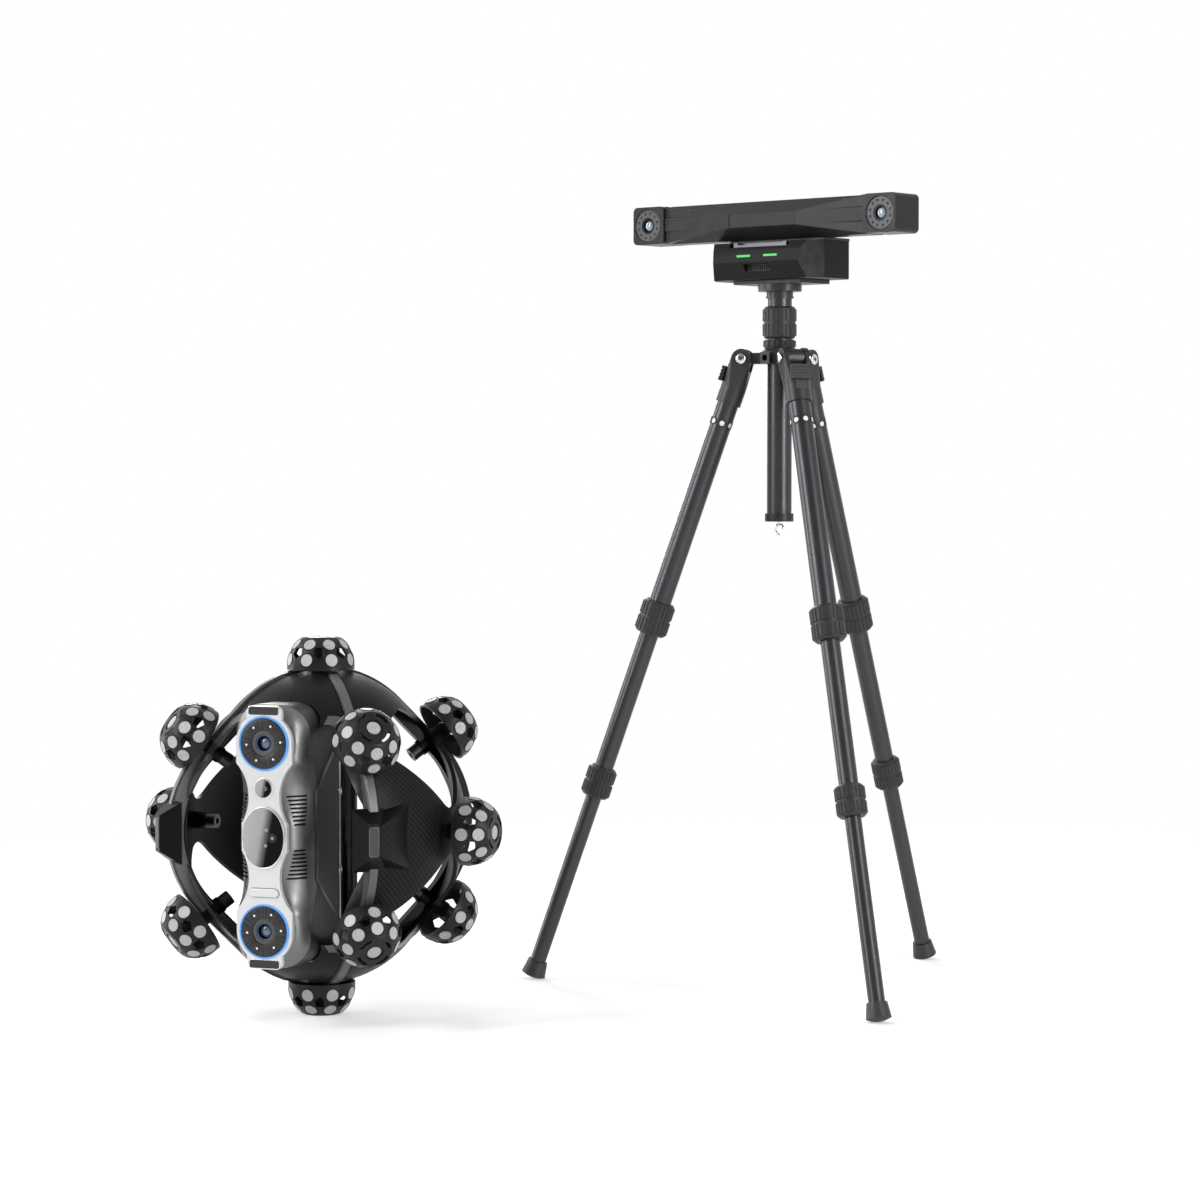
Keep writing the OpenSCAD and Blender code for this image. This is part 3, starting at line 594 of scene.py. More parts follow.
def glass_cap(radius, rise, sides=32, rings=16):
    """A shallow lens: the top of a ball, flattened to its rise."""
    start_clean()
    bpy.ops.mesh.primitive_uv_sphere_add(segments=sides, ring_count=rings, radius=radius * MM)
    piece = bpy.context.object
    bpy.ops.object.mode_set(mode="EDIT")
    bpy.ops.mesh.select_all(action="SELECT")
    bpy.ops.mesh.bisect(plane_co=(0, 0, 0), plane_no=(0, 0, 1), use_fill=True, clear_inner=True)
    bpy.ops.object.mode_set(mode="OBJECT")
    piece.scale = (1, 1, rise / radius)
    bpy.ops.object.transform_apply()
    smooth(piece, 50)
    return piece


# %% Seats and copies
FRONT = -120
TO_FRONT = turned(90, "X")


def on_front(x, z, out):
    """A seat on the scanner's front, facing out of it and lying a distance out of the plate."""
    return SCANNER @ at(x, FRONT - out, z) @ TO_FRONT


def on_side(s, y, z, x):
    """A seat on the scanner's side s, facing away from the body."""
    return SCANNER @ at(s * x, y, z) @ turned(90 * s, "Y")


def raised(seats, height):
    """The same seats, each moved along the way that it faces."""
    return [seat @ at(0, 0, height) for seat in seats]


def ring_round(seats, count, first, radius, height):
    """Seats spaced evenly in a ring round each seat, the first of them at an angle."""
    return [seat @ turned(360 / count * k + first, "Z") @ at(radius, 0, height)
            for seat in seats for k in range(count)]


def repeat(pattern, places):
    """One copy of a pattern at each place, joined; the pattern itself goes."""
    twins = []
    for place in places:
        twin = pattern.copy()
        twin.data = pattern.data.copy()
        twin.data.transform(place)
        bpy.context.scene.collection.objects.link(twin)
        twins.append(twin)
    bpy.data.objects.remove(pattern)
    return join(twins)


def set_out(pattern, places, name, body, material):
    """Copies of a pattern at their places, as one piece that rides on a body."""
    settle(repeat(pattern, places), name, IDENTITY, body, material)


# %% [markdown]
# ## Scanner front
# Each lens sits in a grey step with a blue barrel, and six small lamps stand round it. The
# barrel is no lamp: its blue glow is painted, as a glowing finish. All this could be one
# turned profile. It is a stack of washers and caps instead, each made once and copied to both
# lenses, because every ring has a finish of its own.

# %% Lens steps, barrels and lamps
SIDES = (-1, 1)
lens_seats = [on_front(0, s * LENS_Z, -0.15) for s in SIDES]
set_out(washer(outer=11.8, inner=7.9, depth=0.35), lens_seats, "lens_steps", "scanner",
        finish["ring_grey"])
set_out(washer(outer=7.55, inner=7.0, depth=0.5), raised(lens_seats, -1.2), "lens_barrels", "scanner",
        barrel_blue_painted_glow)
set_out(washer(outer=5.4, inner=4.6, depth=0.6), raised(lens_seats, -3.6), "lens_stops", "scanner",
        finish["screw_black"])
set_out(glass_cap(radius=5.2, rise=1.6), raised(lens_seats, -4.6), "lens_caps", "scanner",
        lens_blue)
set_out(washer(outer=23.4, inner=12.1, depth=0.25, sides=72), raised(lens_seats, 0.7), "lens_faces",
        "scanner", finish["disc_black"])
lamp_seats = ring_round(lens_seats, count=6, first=5, radius=17.4, height=0.9)
set_out(washer(outer=1.9, inner=1.1, depth=0.2, sides=24), lamp_seats, "lamp_sinks", "scanner",
        finish["vent_black"])
set_out(glass_cap(radius=1.1, rise=0.5, sides=12, rings=6), lamp_seats, "lens_lamps", "scanner",
        lamp_white)
print("set", len(lamp_seats), "lamps round the lenses")

# %% [markdown]
# ## Window and emitters
# The scanner throws its light through an oval window, and a cluster of emitters shows in it.
# The rim is a round washer stretched to an oval. The emitters are thin coins on the black
# glass: they look as if they lay behind it, and no see-through glass is needed for that.

# %% Window rim and emitters
WINDOW_HALF = 21.9
WINDOW_TALL = 28.6
GLASS_OUT = 1.95
HOODED_X = 9.4
rim = washer(outer=WINDOW_HALF, inner=WINDOW_HALF - 0.8, depth=2.4, sides=72)
rim.data.transform(Matrix.Diagonal((1, WINDOW_TALL / WINDOW_HALF, 1, 1)))
settle(rim, "window_rim", on_front(0, 0, 0), "scanner", bright_trim)
emitters = [on_front(x, z, GLASS_OUT) for x, z in ((3.4, 7.2), (-4.2, -1), (HOODED_X, 0), (2.5, -7.2))]
set_out(coin(radius=1.6, depth=0.12, rounding=0.05, sides=20), emitters, "window_emitters", "scanner",
        lamp_cream)
settle(washer(outer=4.2, inner=2.6, depth=0.1), "emitter_hood", on_front(HOODED_X, 0, GLASS_OUT), "scanner",
       finish["vent_black"])
print("rimmed the window over", len(emitters), "emitters")

# %% [markdown]
# ## Texture camera and pill
# Above the window a small camera looks out of a bright barrel, and below it lies a pale cover
# like a pill. The pill could be two cylinders and a box, but those leave seams. It is a plane
# whose corners are bevelled almost to half circles, then thickened.

# %% Texture camera and pill
PILL_Z = -51
eye_seat = on_front(2.2, CAMERA_Z, 1.85)
settle(washer(outer=9.5, inner=8.5, depth=1.3), "camera_barrel", on_front(0, CAMERA_Z, -0.1), "scanner",
       bright_trim)
# The camera's window has the same painted reflection as the big window.
settle(coin(radius=8.2, depth=0.6, rounding=0.25, sides=48), "camera_window", on_front(0, CAMERA_Z, 1.3),
       "scanner", camera_glass)
settle(washer(outer=2.3, inner=1.3, depth=0.3, sides=24), "camera_eye_ring", eye_seat, "scanner",
       rim_grey)
settle(glass_cap(radius=1.3, rise=0.5), "camera_eye", eye_seat, "scanner", lens_blue)
# The dark frame round the pill is a painted shadow: it stands for the shadow gap round the raised cover.
settle(slot_frame(wide=31.0, tall=9.0, corner=4.4, rim=0.7, depth=0.12), "pill_painted_shadow", on_front(0, PILL_Z, 0),
       "scanner", seat_shadow)
pill = rounded_outline(wide=29.4, tall=7.4, corner=3.65, steps=8)
apply_modifier(pill, "SOLIDIFY", thickness=1.6 * MM, offset=1)
apply_modifier(pill, "BEVEL", width=0.7 * MM, segments=3, limit_method="ANGLE")
settle(pill, "pill_cover", on_front(0, PILL_Z, 0.6), "scanner", finish["pill_white"])
print("set the texture camera and the pill")

# %% [markdown]
# ## Pads, trim lines and screws
# Dark pads sit in bright frames at the ends of the front plate, and in grey ones on the two
# front arms. A frame is an inset outline with its middle taken out, so its rim is equally wide
# all round, which cutting out a scaled copy would not give. A bright line runs down each side
# of the body, with two screws in dark sinks on it. The line is a bevelled bar, because a flat
# stripe of paint would catch no light along its edges.

# %% Frames of the pads
PAD_AZIMUTHS = (-47, -133)
PAD_AT = CAGE_POINT + CAGE_ROUND + 10.6
PLATE_END = 116.9
to_pad = turned(90, "Y") @ turned(90, "Z")
arm_pads = [SCANNER @ turned(azimuth, "Z") @ at(PAD_AT, 0, 0) @ to_pad for azimuth in PAD_AZIMUTHS]
set_out(slot_frame(wide=9.6, tall=27.6, corner=2.6, rim=0.9, depth=0.9), arm_pads, "arm_pad_frames",
        "scanner", rim_grey)
plate_ends = [on_front(0, s * PLATE_END, -0.05) for s in SIDES]
set_out(slot_frame(wide=32.0, tall=8.6, corner=2.6, rim=0.8, depth=0.5), plate_ends, "end_pad_frames",
        "scanner", bright_trim)
print("framed", len(arm_pads) + len(plate_ends), "pads")


# %% Trim lines and screws
def bar_piece(wide, deep, tall, rounding):
    """A straight strip with rounded edges."""
    start_clean()
    bpy.ops.mesh.primitive_cube_add(size=1)
    piece = bpy.context.object
    piece.scale = (wide * MM, deep * MM, tall * MM)
    bpy.ops.object.transform_apply()
    apply_modifier(piece, "BEVEL", width=rounding * MM, segments=2, limit_method="ANGLE")
    return piece


TRIM_Y = -36
SCREW_Z = 37
trim_places = [SCANNER @ at(s * (BODY_HALF + 0.1), TRIM_Y, 0) for s in SIDES]
set_out(bar_piece(wide=1.1, deep=2.2, tall=185, rounding=0.3), trim_places, "trim_lines", "scanner",
        finish["plate_silver"])
screw_seats = [on_side(s, TRIM_Y, up * SCREW_Z, BODY_HALF - 0.5) for s in SIDES for up in SIDES]
set_out(washer(outer=5.2, inner=3.2, depth=0.8), screw_seats, "screw_sinks", "scanner",
        finish["screw_black"])
set_out(washer(outer=3.2, inner=1.5, depth=1.3, sides=24), screw_seats, "trim_screws", "scanner",
        finish["bolt_chrome"])
print("trimmed both sides with", len(screw_seats), "screws")

# %% [markdown]
# ## Bevel of the body
# The front plate's outline is wavy and the body's is straight. A skin is drawn from one to
# the other, row by row, so the light runs smoothly across it. Bridging two edge loops would
# make a skin too, but rows of points also say how deep it is at every place. Cooling slots
# are cut through it, with a dark liner behind them.

# %% Strips through rows of points
def strip(rows, thick):
    """A thin strip through rows of points, the first row along one edge, the last along the other."""
    start_clean()
    across, along = len(rows) - 1, len(rows[0]) - 1
    bpy.ops.mesh.primitive_grid_add(x_subdivisions=along, y_subdivisions=across, size=1)
    piece = bpy.context.object
    for j, row in enumerate(rows):
        for i, point in enumerate(row):
            piece.data.vertices[j * (along + 1) + i].co = Vector(point) * MM
    apply_modifier(piece, "SOLIDIFY", thickness=thick * MM, offset=0)
    pick(piece)
    bpy.ops.object.mode_set(mode="EDIT")
    bpy.ops.mesh.select_all(action="SELECT")
    bpy.ops.mesh.normals_make_consistent(inside=False)
    bpy.ops.object.mode_set(mode="OBJECT")
    smooth(piece, 40)
    return piece


def sided(rows, s):
    """The rows on side s of the body."""
    return [[(s * x, y, z) for x, y, z in row] for row in rows]


# %% Outline of the plate
PLATE_ROUND = 28.5
PLATE_MIDDLE = 23
LENS_PART = 46
WAIST_Z = 37
WAIST_ROUND = 44
WAIST_HALF = 15.75


def plate_half_width(z):
    """Half the front plate's width at a height: waisted between the window and the lenses."""
    z = abs(z)
    half = PLATE_ROUND if z >= LENS_PART else PLATE_MIDDLE
    if abs(z - WAIST_Z) < WAIST_ROUND:
        half = min(half, WAIST_HALF + WAIST_ROUND - math.sqrt(WAIST_ROUND ** 2 - (z - WAIST_Z) ** 2))
    if abs(z - LENS_Z) < PLATE_ROUND:
        half = max(half, math.sqrt(PLATE_ROUND ** 2 - (z - LENS_Z) ** 2))
    return half


print("the plate's waist is", round(2 * plate_half_width(WAIST_Z), 1), "mm wide")

# %% Outline of the body
BODY_TOP = 121.6
BODY_CORNER = 26
END_BEVEL = 6
SIDE_BEVEL = 17.5
WAIST_BEVEL = 30
END_STEPS = range(90, 0, -6)
SIDE_STEPS = 60
SWELL_SHARE = 0.45


def body_edge(turn):
    """Where a ray from the upper lens meets the body's outline, a rectangle with round corners."""
    corner = Vector((BODY_HALF - BODY_CORNER, BODY_TOP - BODY_CORNER))
    ray = Vector((math.cos(turn), math.sin(turn)))
    to_side, to_top = BODY_HALF / max(ray.x, 0.001), (BODY_TOP - LENS_Z) / ray.y
    if LENS_Z + ray.y * to_side <= corner.y:
        reach = to_side
    elif ray.x * to_top <= corner.x:
        reach = to_top
    else:
        from_corner = Vector((0, LENS_Z)) - corner
        half = from_corner.dot(ray)
        reach = -half + math.sqrt(half * half - from_corner.length_squared + BODY_CORNER ** 2)
    return ray.x * reach, LENS_Z + ray.y * reach


def side_depth(z):
    """How deep the bevel is on the side: deeper at the waist than beside the lenses."""
    step = min(1, (1 - abs(z) / LENS_Z) / SWELL_SHARE)
    return SIDE_BEVEL + (WAIST_BEVEL - SIDE_BEVEL) * step * step * (3 - 2 * step)


# Each entry pairs a point of the plate, a point of the body, and the bevel's depth there
pairs = []
for step in END_STEPS:
    turn = math.radians(step)
    plate_point = (PLATE_ROUND * math.cos(turn), LENS_Z + PLATE_ROUND * math.sin(turn))
    deep = SIDE_BEVEL - (SIDE_BEVEL - END_BEVEL) * math.sin(turn) ** 3
    pairs.append((plate_point, body_edge(turn), deep))
for step in range(SIDE_STEPS + 1):
    z = LENS_Z * (1 - 2 * step / SIDE_STEPS)
    pairs.append(((plate_half_width(z), z), (BODY_HALF, z), side_depth(z)))
pairs += [((px, -pz), (bx, -bz), deep) for (px, pz), (bx, bz), deep in reversed(pairs[:len(END_STEPS)])]
print("paired", len(pairs), "points of the two outlines")

# %% Bevel skin with its slots
SKIN_FRONT = -115.2
SKIN_GAP = 0.6
STRAIGHT = 0.45
SLOT_COUNT = 8
SLOT_SHORT = 6.3
SLOT_FIRST = 12
SLOT_PITCH = 3.7
SLOT_INSET = 3.5
CUTTER_LONG = 10
CUTTER_Y = -103
LINER_HALF = 50
LINER_IN = 3
LINER_BACK = 4


def skin_row(t):
    """One row of the skin, part straight and part round: t is 0 at the plate, 1 at the body's side."""
    out = STRAIGHT * t + (1 - STRAIGHT) * math.sin(math.pi * t / 2)
    back = STRAIGHT * t + (1 - STRAIGHT) * (1 - math.cos(math.pi * t / 2))
    row = []
    for (px, pz), (bx, bz), deep in pairs:
        away = Vector((bx - px, bz - pz)).normalized() * SKIN_GAP
        foot_x, foot_z = px + away.x, pz + away.y
        row.append((foot_x + (bx - foot_x) * out, SKIN_FRONT + deep * back, foot_z + (bz - foot_z) * out))
    return row


def tucked_row():
    """The row that lies hidden under the plate's edge."""
    return [(max(px - 1, 0), SKIN_FRONT - 0.1, pz) for (px, pz), body, deep in pairs]


def slot_places(s):
    """Where the slots of side s are cut: each is 1 mm longer than the one nearer the middle."""
    places = []
    for up in SIDES:
        for k in range(SLOT_COUNT):
            long = SLOT_SHORT + k
            x = s * (BODY_HALF - SLOT_INSET - long / 2)
            stretch = Matrix.Diagonal((long / CUTTER_LONG, 1, 1, 1))
            places.append(at(x, CUTTER_Y, up * (SLOT_FIRST + SLOT_PITCH * k)) @ stretch)
    return places


skin_rows = [tucked_row()] + [skin_row(t / 8) for t in range(9)]
liner_rows = [[(x - LINER_IN, y + LINER_BACK, z) for x, y, z in row if abs(z) < LINER_HALF]
              for row in skin_rows[1:]]
skins, liners = [], []
for s in SIDES:
    skin = strip(sided(skin_rows, s), 0.7)
    cutter = repeat(bar_piece(wide=CUTTER_LONG, deep=32, tall=1.9, rounding=0.7), slot_places(s))
    apply_modifier(skin, "BOOLEAN", operation="DIFFERENCE", solver="EXACT", object=cutter)
    bpy.data.objects.remove(cutter)
    skins.append(skin)
    liners.append(strip(sided(liner_rows, s), 0.5))
settle(join(skins), "bevel_skins", SCANNER, "scanner", bevel_steel)
settle(join(liners), "slot_liners", SCANNER, "scanner", finish["vent_black"])
print("cut", 4 * SLOT_COUNT, "slots through the bevel")

# %% [markdown]
# ## Sides of the body
# Behind the bevel the body runs straight back to the grip. Each wall is a strip along the
# same outline, with a raised six-sided panel on it and a chamfer strip along the panel's edge,
# lighter than the wall as a painted highlight. The two side shells could be bevelled instead,
# but they are wider than the real body, so the walls stand for them.

# %% Side walls behind the bevel
WALL_MIDDLE = -62
WALL_BACK = -41.2
PANEL_BACK = -41
PANEL_FRONT = -86
PANEL_TOP = 78
SLOPE_BACK = -47
SLOPE_LOW = 41


def panel_line(grow):
    """The six-sided panel's open outline in y and z, moved out by a distance."""
    corner = grow * math.tan(math.radians(22.5))
    upper = [(PANEL_BACK, PANEL_TOP + grow), (SLOPE_BACK - corner, PANEL_TOP + grow),
             (PANEL_FRONT - grow, SLOPE_LOW + corner)]
    return upper + [(y, -z) for y, z in reversed(upper)]


def side_panel(s):
    """The raised six-sided panel of side s."""
    start_clean()
    bpy.ops.mesh.primitive_circle_add(vertices=6, fill_type="NGON")
    panel = bpy.context.object
    for vertex, (y, z) in zip(panel.data.vertices, panel_line(0)):
        vertex.co = Vector((s * BODY_HALF, y, z)) * MM
    apply_modifier(panel, "SOLIDIFY", thickness=2.8 * MM, offset=0)
    apply_modifier(panel, "BEVEL", width=0.5 * MM, segments=2, limit_method="ANGLE")
    return panel


wall_front = [(bx, SKIN_FRONT + deep - 0.5, bz) for plate, (bx, bz), deep in pairs]
wall_rows = [wall_front] + [[(x, back, z) for x, y, z in wall_front] for back in (WALL_MIDDLE, WALL_BACK)]
for s, side in zip(SIDES, ("left", "right")):
    wall = join([strip(sided(wall_rows, s), 0.9), side_panel(s)])
    settle(wall, side + "_side_wall", SCANNER, "scanner", finish["shell_gunmetal"])
    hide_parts(side + "_side_shell")
print("walled both sides of the body")

# %% Chamfer strips of the side panels, lighter as a painted highlight
# Each row has a growth of the panel's outline, and how far it lies out of the body's side
EDGE_ROWS = ((-0.5, 1.5), (0.1, 1.45), (1.5, 0.3))
edge_rows = [[(BODY_HALF + out, y, z) for y, z in panel_line(grow)] for grow, out in EDGE_ROWS]
# These chamfer strips take the bevel's lighter steel: a painted highlight on the darker wall.
edges = [strip(sided(edge_rows, s), 0.3) for s in SIDES]
settle(join(edges), "panel_edge_highlights", SCANNER, "scanner", bevel_steel)
print("edged", len(edges), "side panels")

# %% [markdown]
# ## Cage edges
# The front arms and the flange beside the front opening show a grey band of highlight, not
# weave. It is painted: a grey strip lies along each of these front edges. A second finish on
# some of the cage's faces could show that, but the band ends where the cage has no edge. So
# each is a strip: a grid whose rows are laid along the edge, then thickened.

# %% Strips on the front arms
# Each row of a strip has a growth of the arm's outline and an offset towards the front
FACE_ROWS = ((0.25, -3.2), (0.25, 4.0), (-1.2, 5.2))
FLANK_ROWS = ((-1.6, 5.15), (-8, 5.15), (-14.5, 5.15))
# Each front arm has its azimuth and the way round to the front
FRONT_ARMS = ((225, 1), (315, -1))
ARM_END = 70
ARM_CORNER = 45


def arm_line(grow):
    """The arm's outline from below to above, as distance from the axis and height."""
    reach = CAGE_ROUND + grow
    line = []
    for step in range(-ARM_END, ARM_END + 1, 2):
        turn = math.radians(step)
        middle = (CAGE_POINT, 0) if abs(step) <= ARM_CORNER else (0, math.copysign(CAGE_POINT, step))
        line.append((middle[0] + reach * math.cos(turn), middle[1] + reach * math.sin(turn)))
    return line


def arm_strip(azimuth, front, rows):
    """The points of a strip on an arm; front is the way round to the front."""
    out = Vector((math.cos(math.radians(azimuth)), math.sin(math.radians(azimuth)), 0))
    side = Vector((-out.y, out.x, 0)) * front
    return [[out * r + side * offset + Vector((0, 0, z)) for r, z in arm_line(grow)] for grow, offset in rows]


# Grey strips painted as the highlight along the front arms' edges.
arm_highlight_strips = []
for azimuth, front in FRONT_ARMS:
    arm_highlight_strips.append(strip(arm_strip(azimuth, front, FACE_ROWS), 0.5))
    arm_highlight_strips.append(strip(arm_strip(azimuth, front, FLANK_ROWS), 0.4))
settle(join(arm_highlight_strips), "arm_painted_highlights", SCANNER, "scanner", rim_grey)
print("trimmed the front arms with", len(arm_highlight_strips), "strips")

# %% Flange beside the front opening
PANEL_ROUND = 137.5
OPENING_TOP = (46, 93)
OPENING_SIDE = (84, 24)
OPENING_ROUND = 9
FLANGE_OFFSETS = (0.3, 2.5, 5, 8)


def cage_depth(x, z, grow):
    """How far the cage's outer surface lies in front of its middle, at x and z."""
    balls = [(0, PANEL_ROUND), (CAGE_POINT, CAGE_ROUND - 2), (-CAGE_POINT, CAGE_ROUND - 2)]
    squares = [(radius + grow) ** 2 - x * x - (z - middle) ** 2 for middle, radius in balls]
    return math.sqrt(max(max(squares), 1))


def opening_line(offset):
    """The front opening's upper right edge, moved out by an offset."""
    (top_x, top_z), (side_x, side_z) = OPENING_TOP, OPENING_SIDE
    reach = OPENING_ROUND + offset
    slant = math.atan2(side_x - top_x, top_z - side_z)
    line = [(top_x - 3.5, top_z + reach)]
    for step in range(9):
        turn = math.radians(90) + (slant - math.radians(90)) * step / 8
        line.append((top_x + reach * math.cos(turn), top_z + reach * math.sin(turn)))
    for step in range(1, 20):
        x, z = top_x + (side_x - top_x) * step / 20, top_z + (side_z - top_z) * step / 20
        line.append((x + reach * math.cos(slant), z + reach * math.sin(slant)))
    for step in range(5):
        turn = slant * (1 - step / 4)
        line.append((side_x + reach * math.cos(turn), side_z + reach * math.sin(turn)))
    return line + [(side_x + reach, 4)]


# These strips paint the highlight along the flange beside the front opening.
flange_rows = [[(x, -cage_depth(x, z, 0.2), z) for x, z in opening_line(offset)] for offset in FLANGE_OFFSETS]
quarters = []
for s in SIDES:
    for up in SIDES:
        rows = [[(x, y, up * z) for x, y, z in row] for row in flange_rows]
        quarters.append(strip(sided(rows, s), 0.4))
settle(join(quarters), "front_flange_highlights", SCANNER, "scanner", rim_grey)
print("flanged the front opening with", len(quarters), "strips")

# %% [markdown]
# ## Wings of the front arms
# Behind each front arm's pad a faceted wing falls away to the woven panel. It could be a
# wedge that is cut to the panel. Four rows of points are simpler: each point is worked out
# from the panel's ball, so the wing's foot always reaches into it.

# %% Wings of the front arms
WING_NEAR = 6
WING_LONG = 39
RIDGE_OUT = 161.2
PAD_HALF = 13.5
WING_SPREAD = 16
FOOT_NEAR = 10
FOOT_FAR = 2


def wing(azimuth, back):
    """A faceted wing from an arm's pad down to the panel behind it; back is the way round."""
    rows = []
    for edge in (-2, -1, 1, 2):
        row = []
        for step in range(9):
            part = step / 8
            along = WING_NEAR + WING_LONG * part
            high = PAD_HALF + WING_SPREAD * part
            if abs(edge) == 2:
                high += FOOT_NEAR + (FOOT_FAR - FOOT_NEAR) * part
            panel = math.sqrt(PANEL_ROUND ** 2 - along ** 2 - high ** 2)
            ridge = RIDGE_OUT + (panel + 0.4 - RIDGE_OUT) * part
            out = panel - 0.6 if abs(edge) == 2 else ridge
            row.append(turned(azimuth, "Z") @ Vector((out, back * along, math.copysign(high, edge))))
        rows.append(row)
    return strip(rows, 0.5)


wings = [wing(azimuth, back) for azimuth, back in zip(PAD_AZIMUTHS, (1, -1))]
settle(join(wings), "pad_wings", SCANNER, "scanner", finish["cage_carbon"])
print("winged both front arms")

# %% [markdown]
# ## Marker rims
# Each reflecting dot round a dome lies in a shallow seat with a thin raised rim. One low
# ring is modelled and laid on all those seats of all the domes. It has few sides, because
# nearly two hundred copies of it are laid.

# %% Rims of the reflecting dots
DOTS_ROUND = 8
DOT_POLAR = (49.5, 79)
RIM_OUT = 31.15


def dome_matrix(azimuth, elevation):
    return SCANNER @ turned(azimuth, "Z") @ turned(90 - elevation, "Y") @ at(0, 0, DOME_AT)


domes = [(0, 90), (0, -90), (0, 0), (180, 0)] + [(a, e) for a in (45, 135, 225, 315) for e in (-35, 35)]
rim_seats = []
for azimuth, elevation in domes:
    for k in range(DOTS_ROUND):
        for polar in DOT_POLAR:
            tip = turned(360 / DOTS_ROUND * k, "Z") @ turned(polar, "Y")
            rim_seats.append(dome_matrix(azimuth, elevation) @ tip @ at(0, 0, RIM_OUT))
start_clean()
bpy.ops.mesh.primitive_torus_add(major_radius=6.75 * MM, minor_radius=0.62 * MM, major_segments=16,
                                 minor_segments=4)
bpy.ops.object.shade_smooth()
set_out(bpy.context.object, rim_seats, "dot_rims", "scanner", finish["dome_black"])
print("rimmed", len(rim_seats), "dots")

# %% [markdown]
# ## Tripod targets
# White target dots in black rings stand round the top of each leg. They are made flat and
# then bent onto the tube, because a flat one would stand off it at both sides.

# %% Target dots on the legs
TUBE_ROUND = 11
TARGET_AT = 67
TARGETS = 7


def on_tube(piece, angle):
    """Bends a flat piece, which faces +Z, round a leg's tube at an angle."""
    for vertex in piece.data.vertices:
        x, y, z = vertex.co / MM
        turn = angle + x / TUBE_ROUND
        reach = TUBE_ROUND + z
        vertex.co = Vector((reach * math.cos(turn), reach * math.sin(turn), y - TARGET_AT)) * MM
    return piece


angles = [2 * math.pi * k / TARGETS for k in range(TARGETS)]
for side in LEG_AZIMUTH:
    rings = [on_tube(washer(outer=4.2, inner=2.7, depth=0.35, sides=24), angle) for angle in angles]
    films = [on_tube(glass_cap(radius=2.7, rise=0.32, sides=16, rings=8), angle) for angle in angles]
    settle(join(rings), side + "_leg_target_rings", leg_matrix(side), side + "_leg",
           finish["vent_black"])
    settle(join(films), side + "_leg_target_dots", leg_matrix(side), side + "_leg",
           film_white)
print("set", TARGETS, "target dots on each of", len(LEG_AZIMUTH), "legs")

# %% [markdown]
# ## Star bolts
# The legs turn on bolts with bright domed ends and a socket of six lobes. The socket could be
# cut out, but it is under 5 mm wide, and a dark coin with its rim drawn in and out by a cosine
# looks the same.

# %% Star bolts of the leg pivots
BOLT_FACE = 15.4
SOCKET_LOBES = 6
LOBE_DEPTH = 0.22
bolt_seats = [leg_matrix(side) @ turned(-90 * s, "X") @ at(0, 0, BOLT_FACE)
              for side in LEG_AZIMUTH for s in SIDES]
set_out(glass_cap(radius=5.1, rise=1.7), bolt_seats, "bolt_domes", "hub",
        finish["bolt_chrome"])
star = coin(radius=2.3, depth=0.3, rounding=0.08, sides=12)
for vertex in star.data.vertices:
    around = math.atan2(vertex.co.y, vertex.co.x)
    lobe = 1 - LOBE_DEPTH + LOBE_DEPTH * math.cos(SOCKET_LOBES * around)
    vertex.co.x *= lobe
    vertex.co.y *= lobe
set_out(star, raised(bolt_seats, 1.5), "bolt_stars", "hub", finish["screw_black"])
print("capped", len(bolt_seats), "bolt ends")

# %% [markdown]
# ## Tracker eyes
# The bar's two cameras get lens glass, and small lamps stand in their rings. A flat disc would
# do from afar, but the flattened top of a ball catches a small highlight, as lens glass does.

# %% Tracker lenses and lamps
BAR_MID = 137
EYE_X = 146
EYE_Y = -27.4
eye_seats = [TRIPOD @ at(s * EYE_X, EYE_Y, BAR_MID) @ TO_FRONT for s in SIDES]
# lens_pale paints a pale sheen into each eye, brightest where it faces the eye.
set_out(glass_cap(radius=5.4, rise=2.6), eye_seats, "tracker_eyes", "tracker", lens_pale)
lamp_seats = ring_round(eye_seats, count=12, first=15, radius=12.4, height=1.8)
set_out(glass_cap(radius=0.95, rise=0.8, sides=12, rings=6), lamp_seats, "tracker_lamps", "tracker",
        rim_grey)
set_out(washer(outer=16.4, inner=15.7, depth=0.35, sides=64), raised(eye_seats, 2.7), "tracker_ring_edges",
        "tracker", finish["vent_black"])
print("glazed the tracker with", len(lamp_seats), "lamps")

# %% [markdown]
# ## Seams of the bar
# The facets of the bar's front meet in fine dark lines. A groove could be cut for each, but
# thin dark rods laid along them read the same and leave the bar's mesh whole.

# %% Panel seams of the bar
SEAM_ROUND = 0.35
FACET_X = 42
FACET_Y = -29.4
FACET_HALF = 6.6
BLOCK_X = 124.5
BLOCK_Y = -27.9
BLOCK_HALF = 18.4


def rod(start, end, radius):
    """A thin rod between two points, with rounded ends."""
    start_clean()
    start, end = Vector(start) * MM, Vector(end) * MM
    line = end - start
    bpy.ops.mesh.primitive_cylinder_add(vertices=8, radius=radius * MM, depth=line.length)
    piece = bpy.context.object
    lean = line.to_track_quat("Z", "Y").to_matrix().to_4x4()
    piece.matrix_basis = Matrix.Translation((start + end) / 2) @ lean
    bpy.ops.object.transform_apply()
    apply_modifier(piece, "BEVEL", width=radius * 0.4 * MM, segments=2, limit_method="ANGLE")
    return piece


seams = []
for s in SIDES:
    low, high = [(s * FACET_X, FACET_Y, BAR_MID + up * FACET_HALF) for up in SIDES]
    for corner, up in zip((low, high), SIDES):
        seams.append(rod(corner, (s * BLOCK_X, BLOCK_Y, BAR_MID + up * BLOCK_HALF), SEAM_ROUND))
    seams.append(rod(low, high, SEAM_ROUND))
settle(join(seams), "bar_seams", TRIPOD, "tracker", finish["vent_black"])
print("drew", len(seams), "seams on the bar")

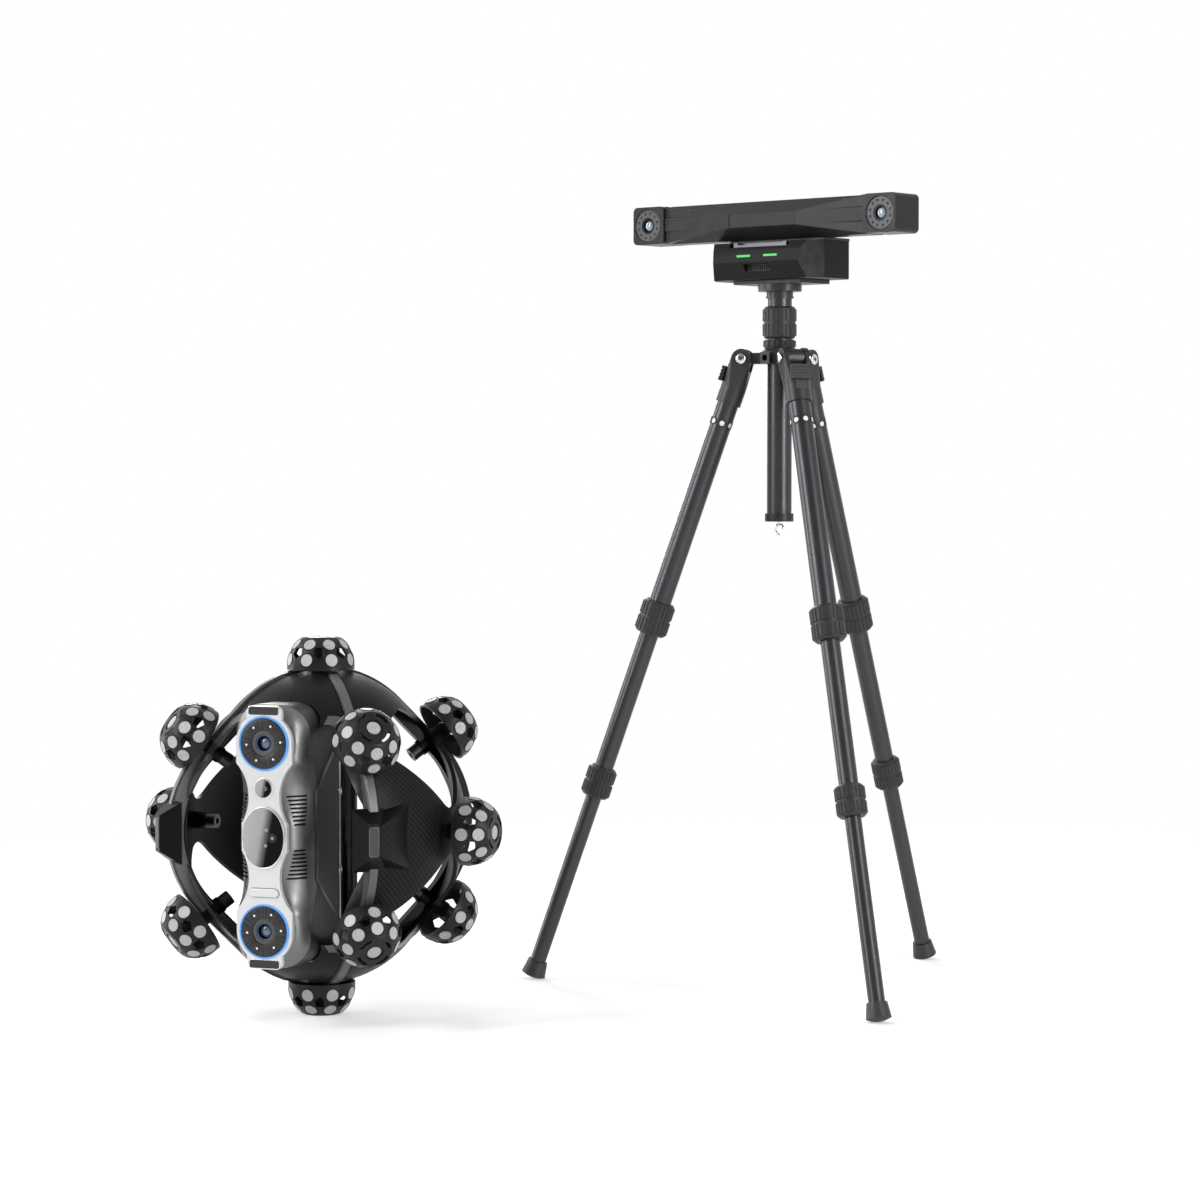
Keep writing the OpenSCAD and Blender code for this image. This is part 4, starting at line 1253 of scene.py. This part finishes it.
# %% [markdown]
# ## Studio
# A pale floor keeps the set's shadow and fades into the white behind it. Soft panels light
# the set from the front, from both sides and from behind. The backdrop is white in
# reflections, and the room behind the camera is darker, which gives the black tubes their
# shape. A curved sweep of paper is what a real studio has, but a flat floor that fades needs
# no bend to hide.

# %% Floor
start_clean()
bpy.ops.mesh.primitive_plane_add(size=30)
floor = bpy.context.object
floor.name = "floor"
floor_finish, tree, shader = new_finish("floor_white")
shader.inputs["Base Color"].default_value = (0.8, 0.8, 0.8, 1)
shader.inputs["Roughness"].default_value = 0.9
where = tree.nodes.new("ShaderNodeTexCoord")
length = tree.nodes.new("ShaderNodeVectorMath")
length.operation = "LENGTH"
tree.links.new(where.outputs["Object"], length.inputs[0])
fade = add_node(tree, "ShaderNodeMapRange", From_Min=0.7, From_Max=1.7)
fade.interpolation_type = "SMOOTHSTEP"
tree.links.new(length.outputs["Value"], fade.inputs["Value"])
lift = add_node(tree, "ShaderNodeEmission", Color=(1, 1, 1, 1), Strength=0.36)
lifted = add_node(tree, "ShaderNodeAddShader")
tree.links.new(shader.outputs["BSDF"], lifted.inputs[0])
tree.links.new(lift.outputs["Emission"], lifted.inputs[1])
white = add_node(tree, "ShaderNodeEmission", Color=(1, 1, 1, 1), Strength=1.0)
faded = tree.nodes.new("ShaderNodeMixShader")
tree.links.new(fade.outputs["Result"], faded.inputs["Fac"])
tree.links.new(lifted.outputs["Shader"], faded.inputs[1])
tree.links.new(white.outputs["Emission"], faded.inputs[2])
seen = tree.nodes.new("ShaderNodeMixShader")
paths = tree.nodes.new("ShaderNodeLightPath")
shown = maths(tree, "ADD", paths.outputs["Is Camera Ray"], paths.outputs["Is Glossy Ray"])
tree.links.new(maths(tree, "ADD", shown, paths.outputs["Is Transmission Ray"]), seen.inputs["Fac"])
tree.links.new(shader.outputs["BSDF"], seen.inputs[1])
tree.links.new(faded.outputs["Shader"], seen.inputs[2])
tree.links.new(seen.outputs["Shader"], tree.nodes["Material Output"].inputs["Surface"])
floor.data.materials.append(floor_finish)
print("laid the floor")

# %% World
world = bpy.data.worlds.new("studio")
bpy.context.scene.world = world
world.use_nodes = True
tree = world.node_tree
background = tree.nodes["Background"]
background.inputs["Color"].default_value = (1, 1, 1, 1)
where = tree.nodes.new("ShaderNodeTexCoord")
behind = tree.nodes.new("ShaderNodeVectorMath")
behind.operation = "DOT_PRODUCT"
behind.inputs[1].default_value = (-0.6, 0.77, 0.22)
tree.links.new(where.outputs["Generated"], behind.inputs[0])
room = add_node(tree, "ShaderNodeMapRange", From_Min=-0.75, From_Max=0.35, To_Min=0.2, To_Max=0.9)
tree.links.new(behind.outputs["Value"], room.inputs["Value"])
paths = tree.nodes.new("ShaderNodeLightPath")
mirrored = maths(tree, "ADD", paths.outputs["Is Glossy Ray"], paths.outputs["Is Transmission Ray"])
level = add_node(tree, "ShaderNodeMapRange", To_Min=0.5, To_Max=1.0)
tree.links.new(mirrored, level.inputs["Value"])
inside = maths(tree, "MULTIPLY", room.outputs["Result"], level.outputs["Result"])
tree.links.new(maths(tree, "MAXIMUM", inside, paths.outputs["Is Camera Ray"]), background.inputs["Strength"])
print("lit the room")


# %% Soft panels
def softbox(name, place, aim, size, power):
    data = bpy.data.lights.new(name, "AREA")
    data.shape = "RECTANGLE"
    data.size, data.size_y = size
    data.energy = power
    lamp = bpy.data.objects.new(name, data)
    lamp.location = place
    lamp.rotation_euler = (Vector(aim) - Vector(place)).to_track_quat("-Z", "Y").to_euler()
    bpy.context.scene.collection.objects.link(lamp)


softbox("key_panel", place=(-1.1, -2.5, 1.5), aim=(-0.1, -0.2, 0.4), size=(0.7, 2.0), power=48)
softbox("side_panel", place=(2.4, -0.3, 0.9), aim=(0, -0.2, 0.4), size=(0.5, 1.9), power=45)
softbox("left_panel", place=(-2.3, -0.9, 0.9), aim=(0, -0.2, 0.4), size=(0.4, 1.9), power=24)
softbox("back_panel", place=(-2.0, 1.2, 1.5), aim=(0, -0.2, 0.4), size=(0.7, 1.8), power=30)
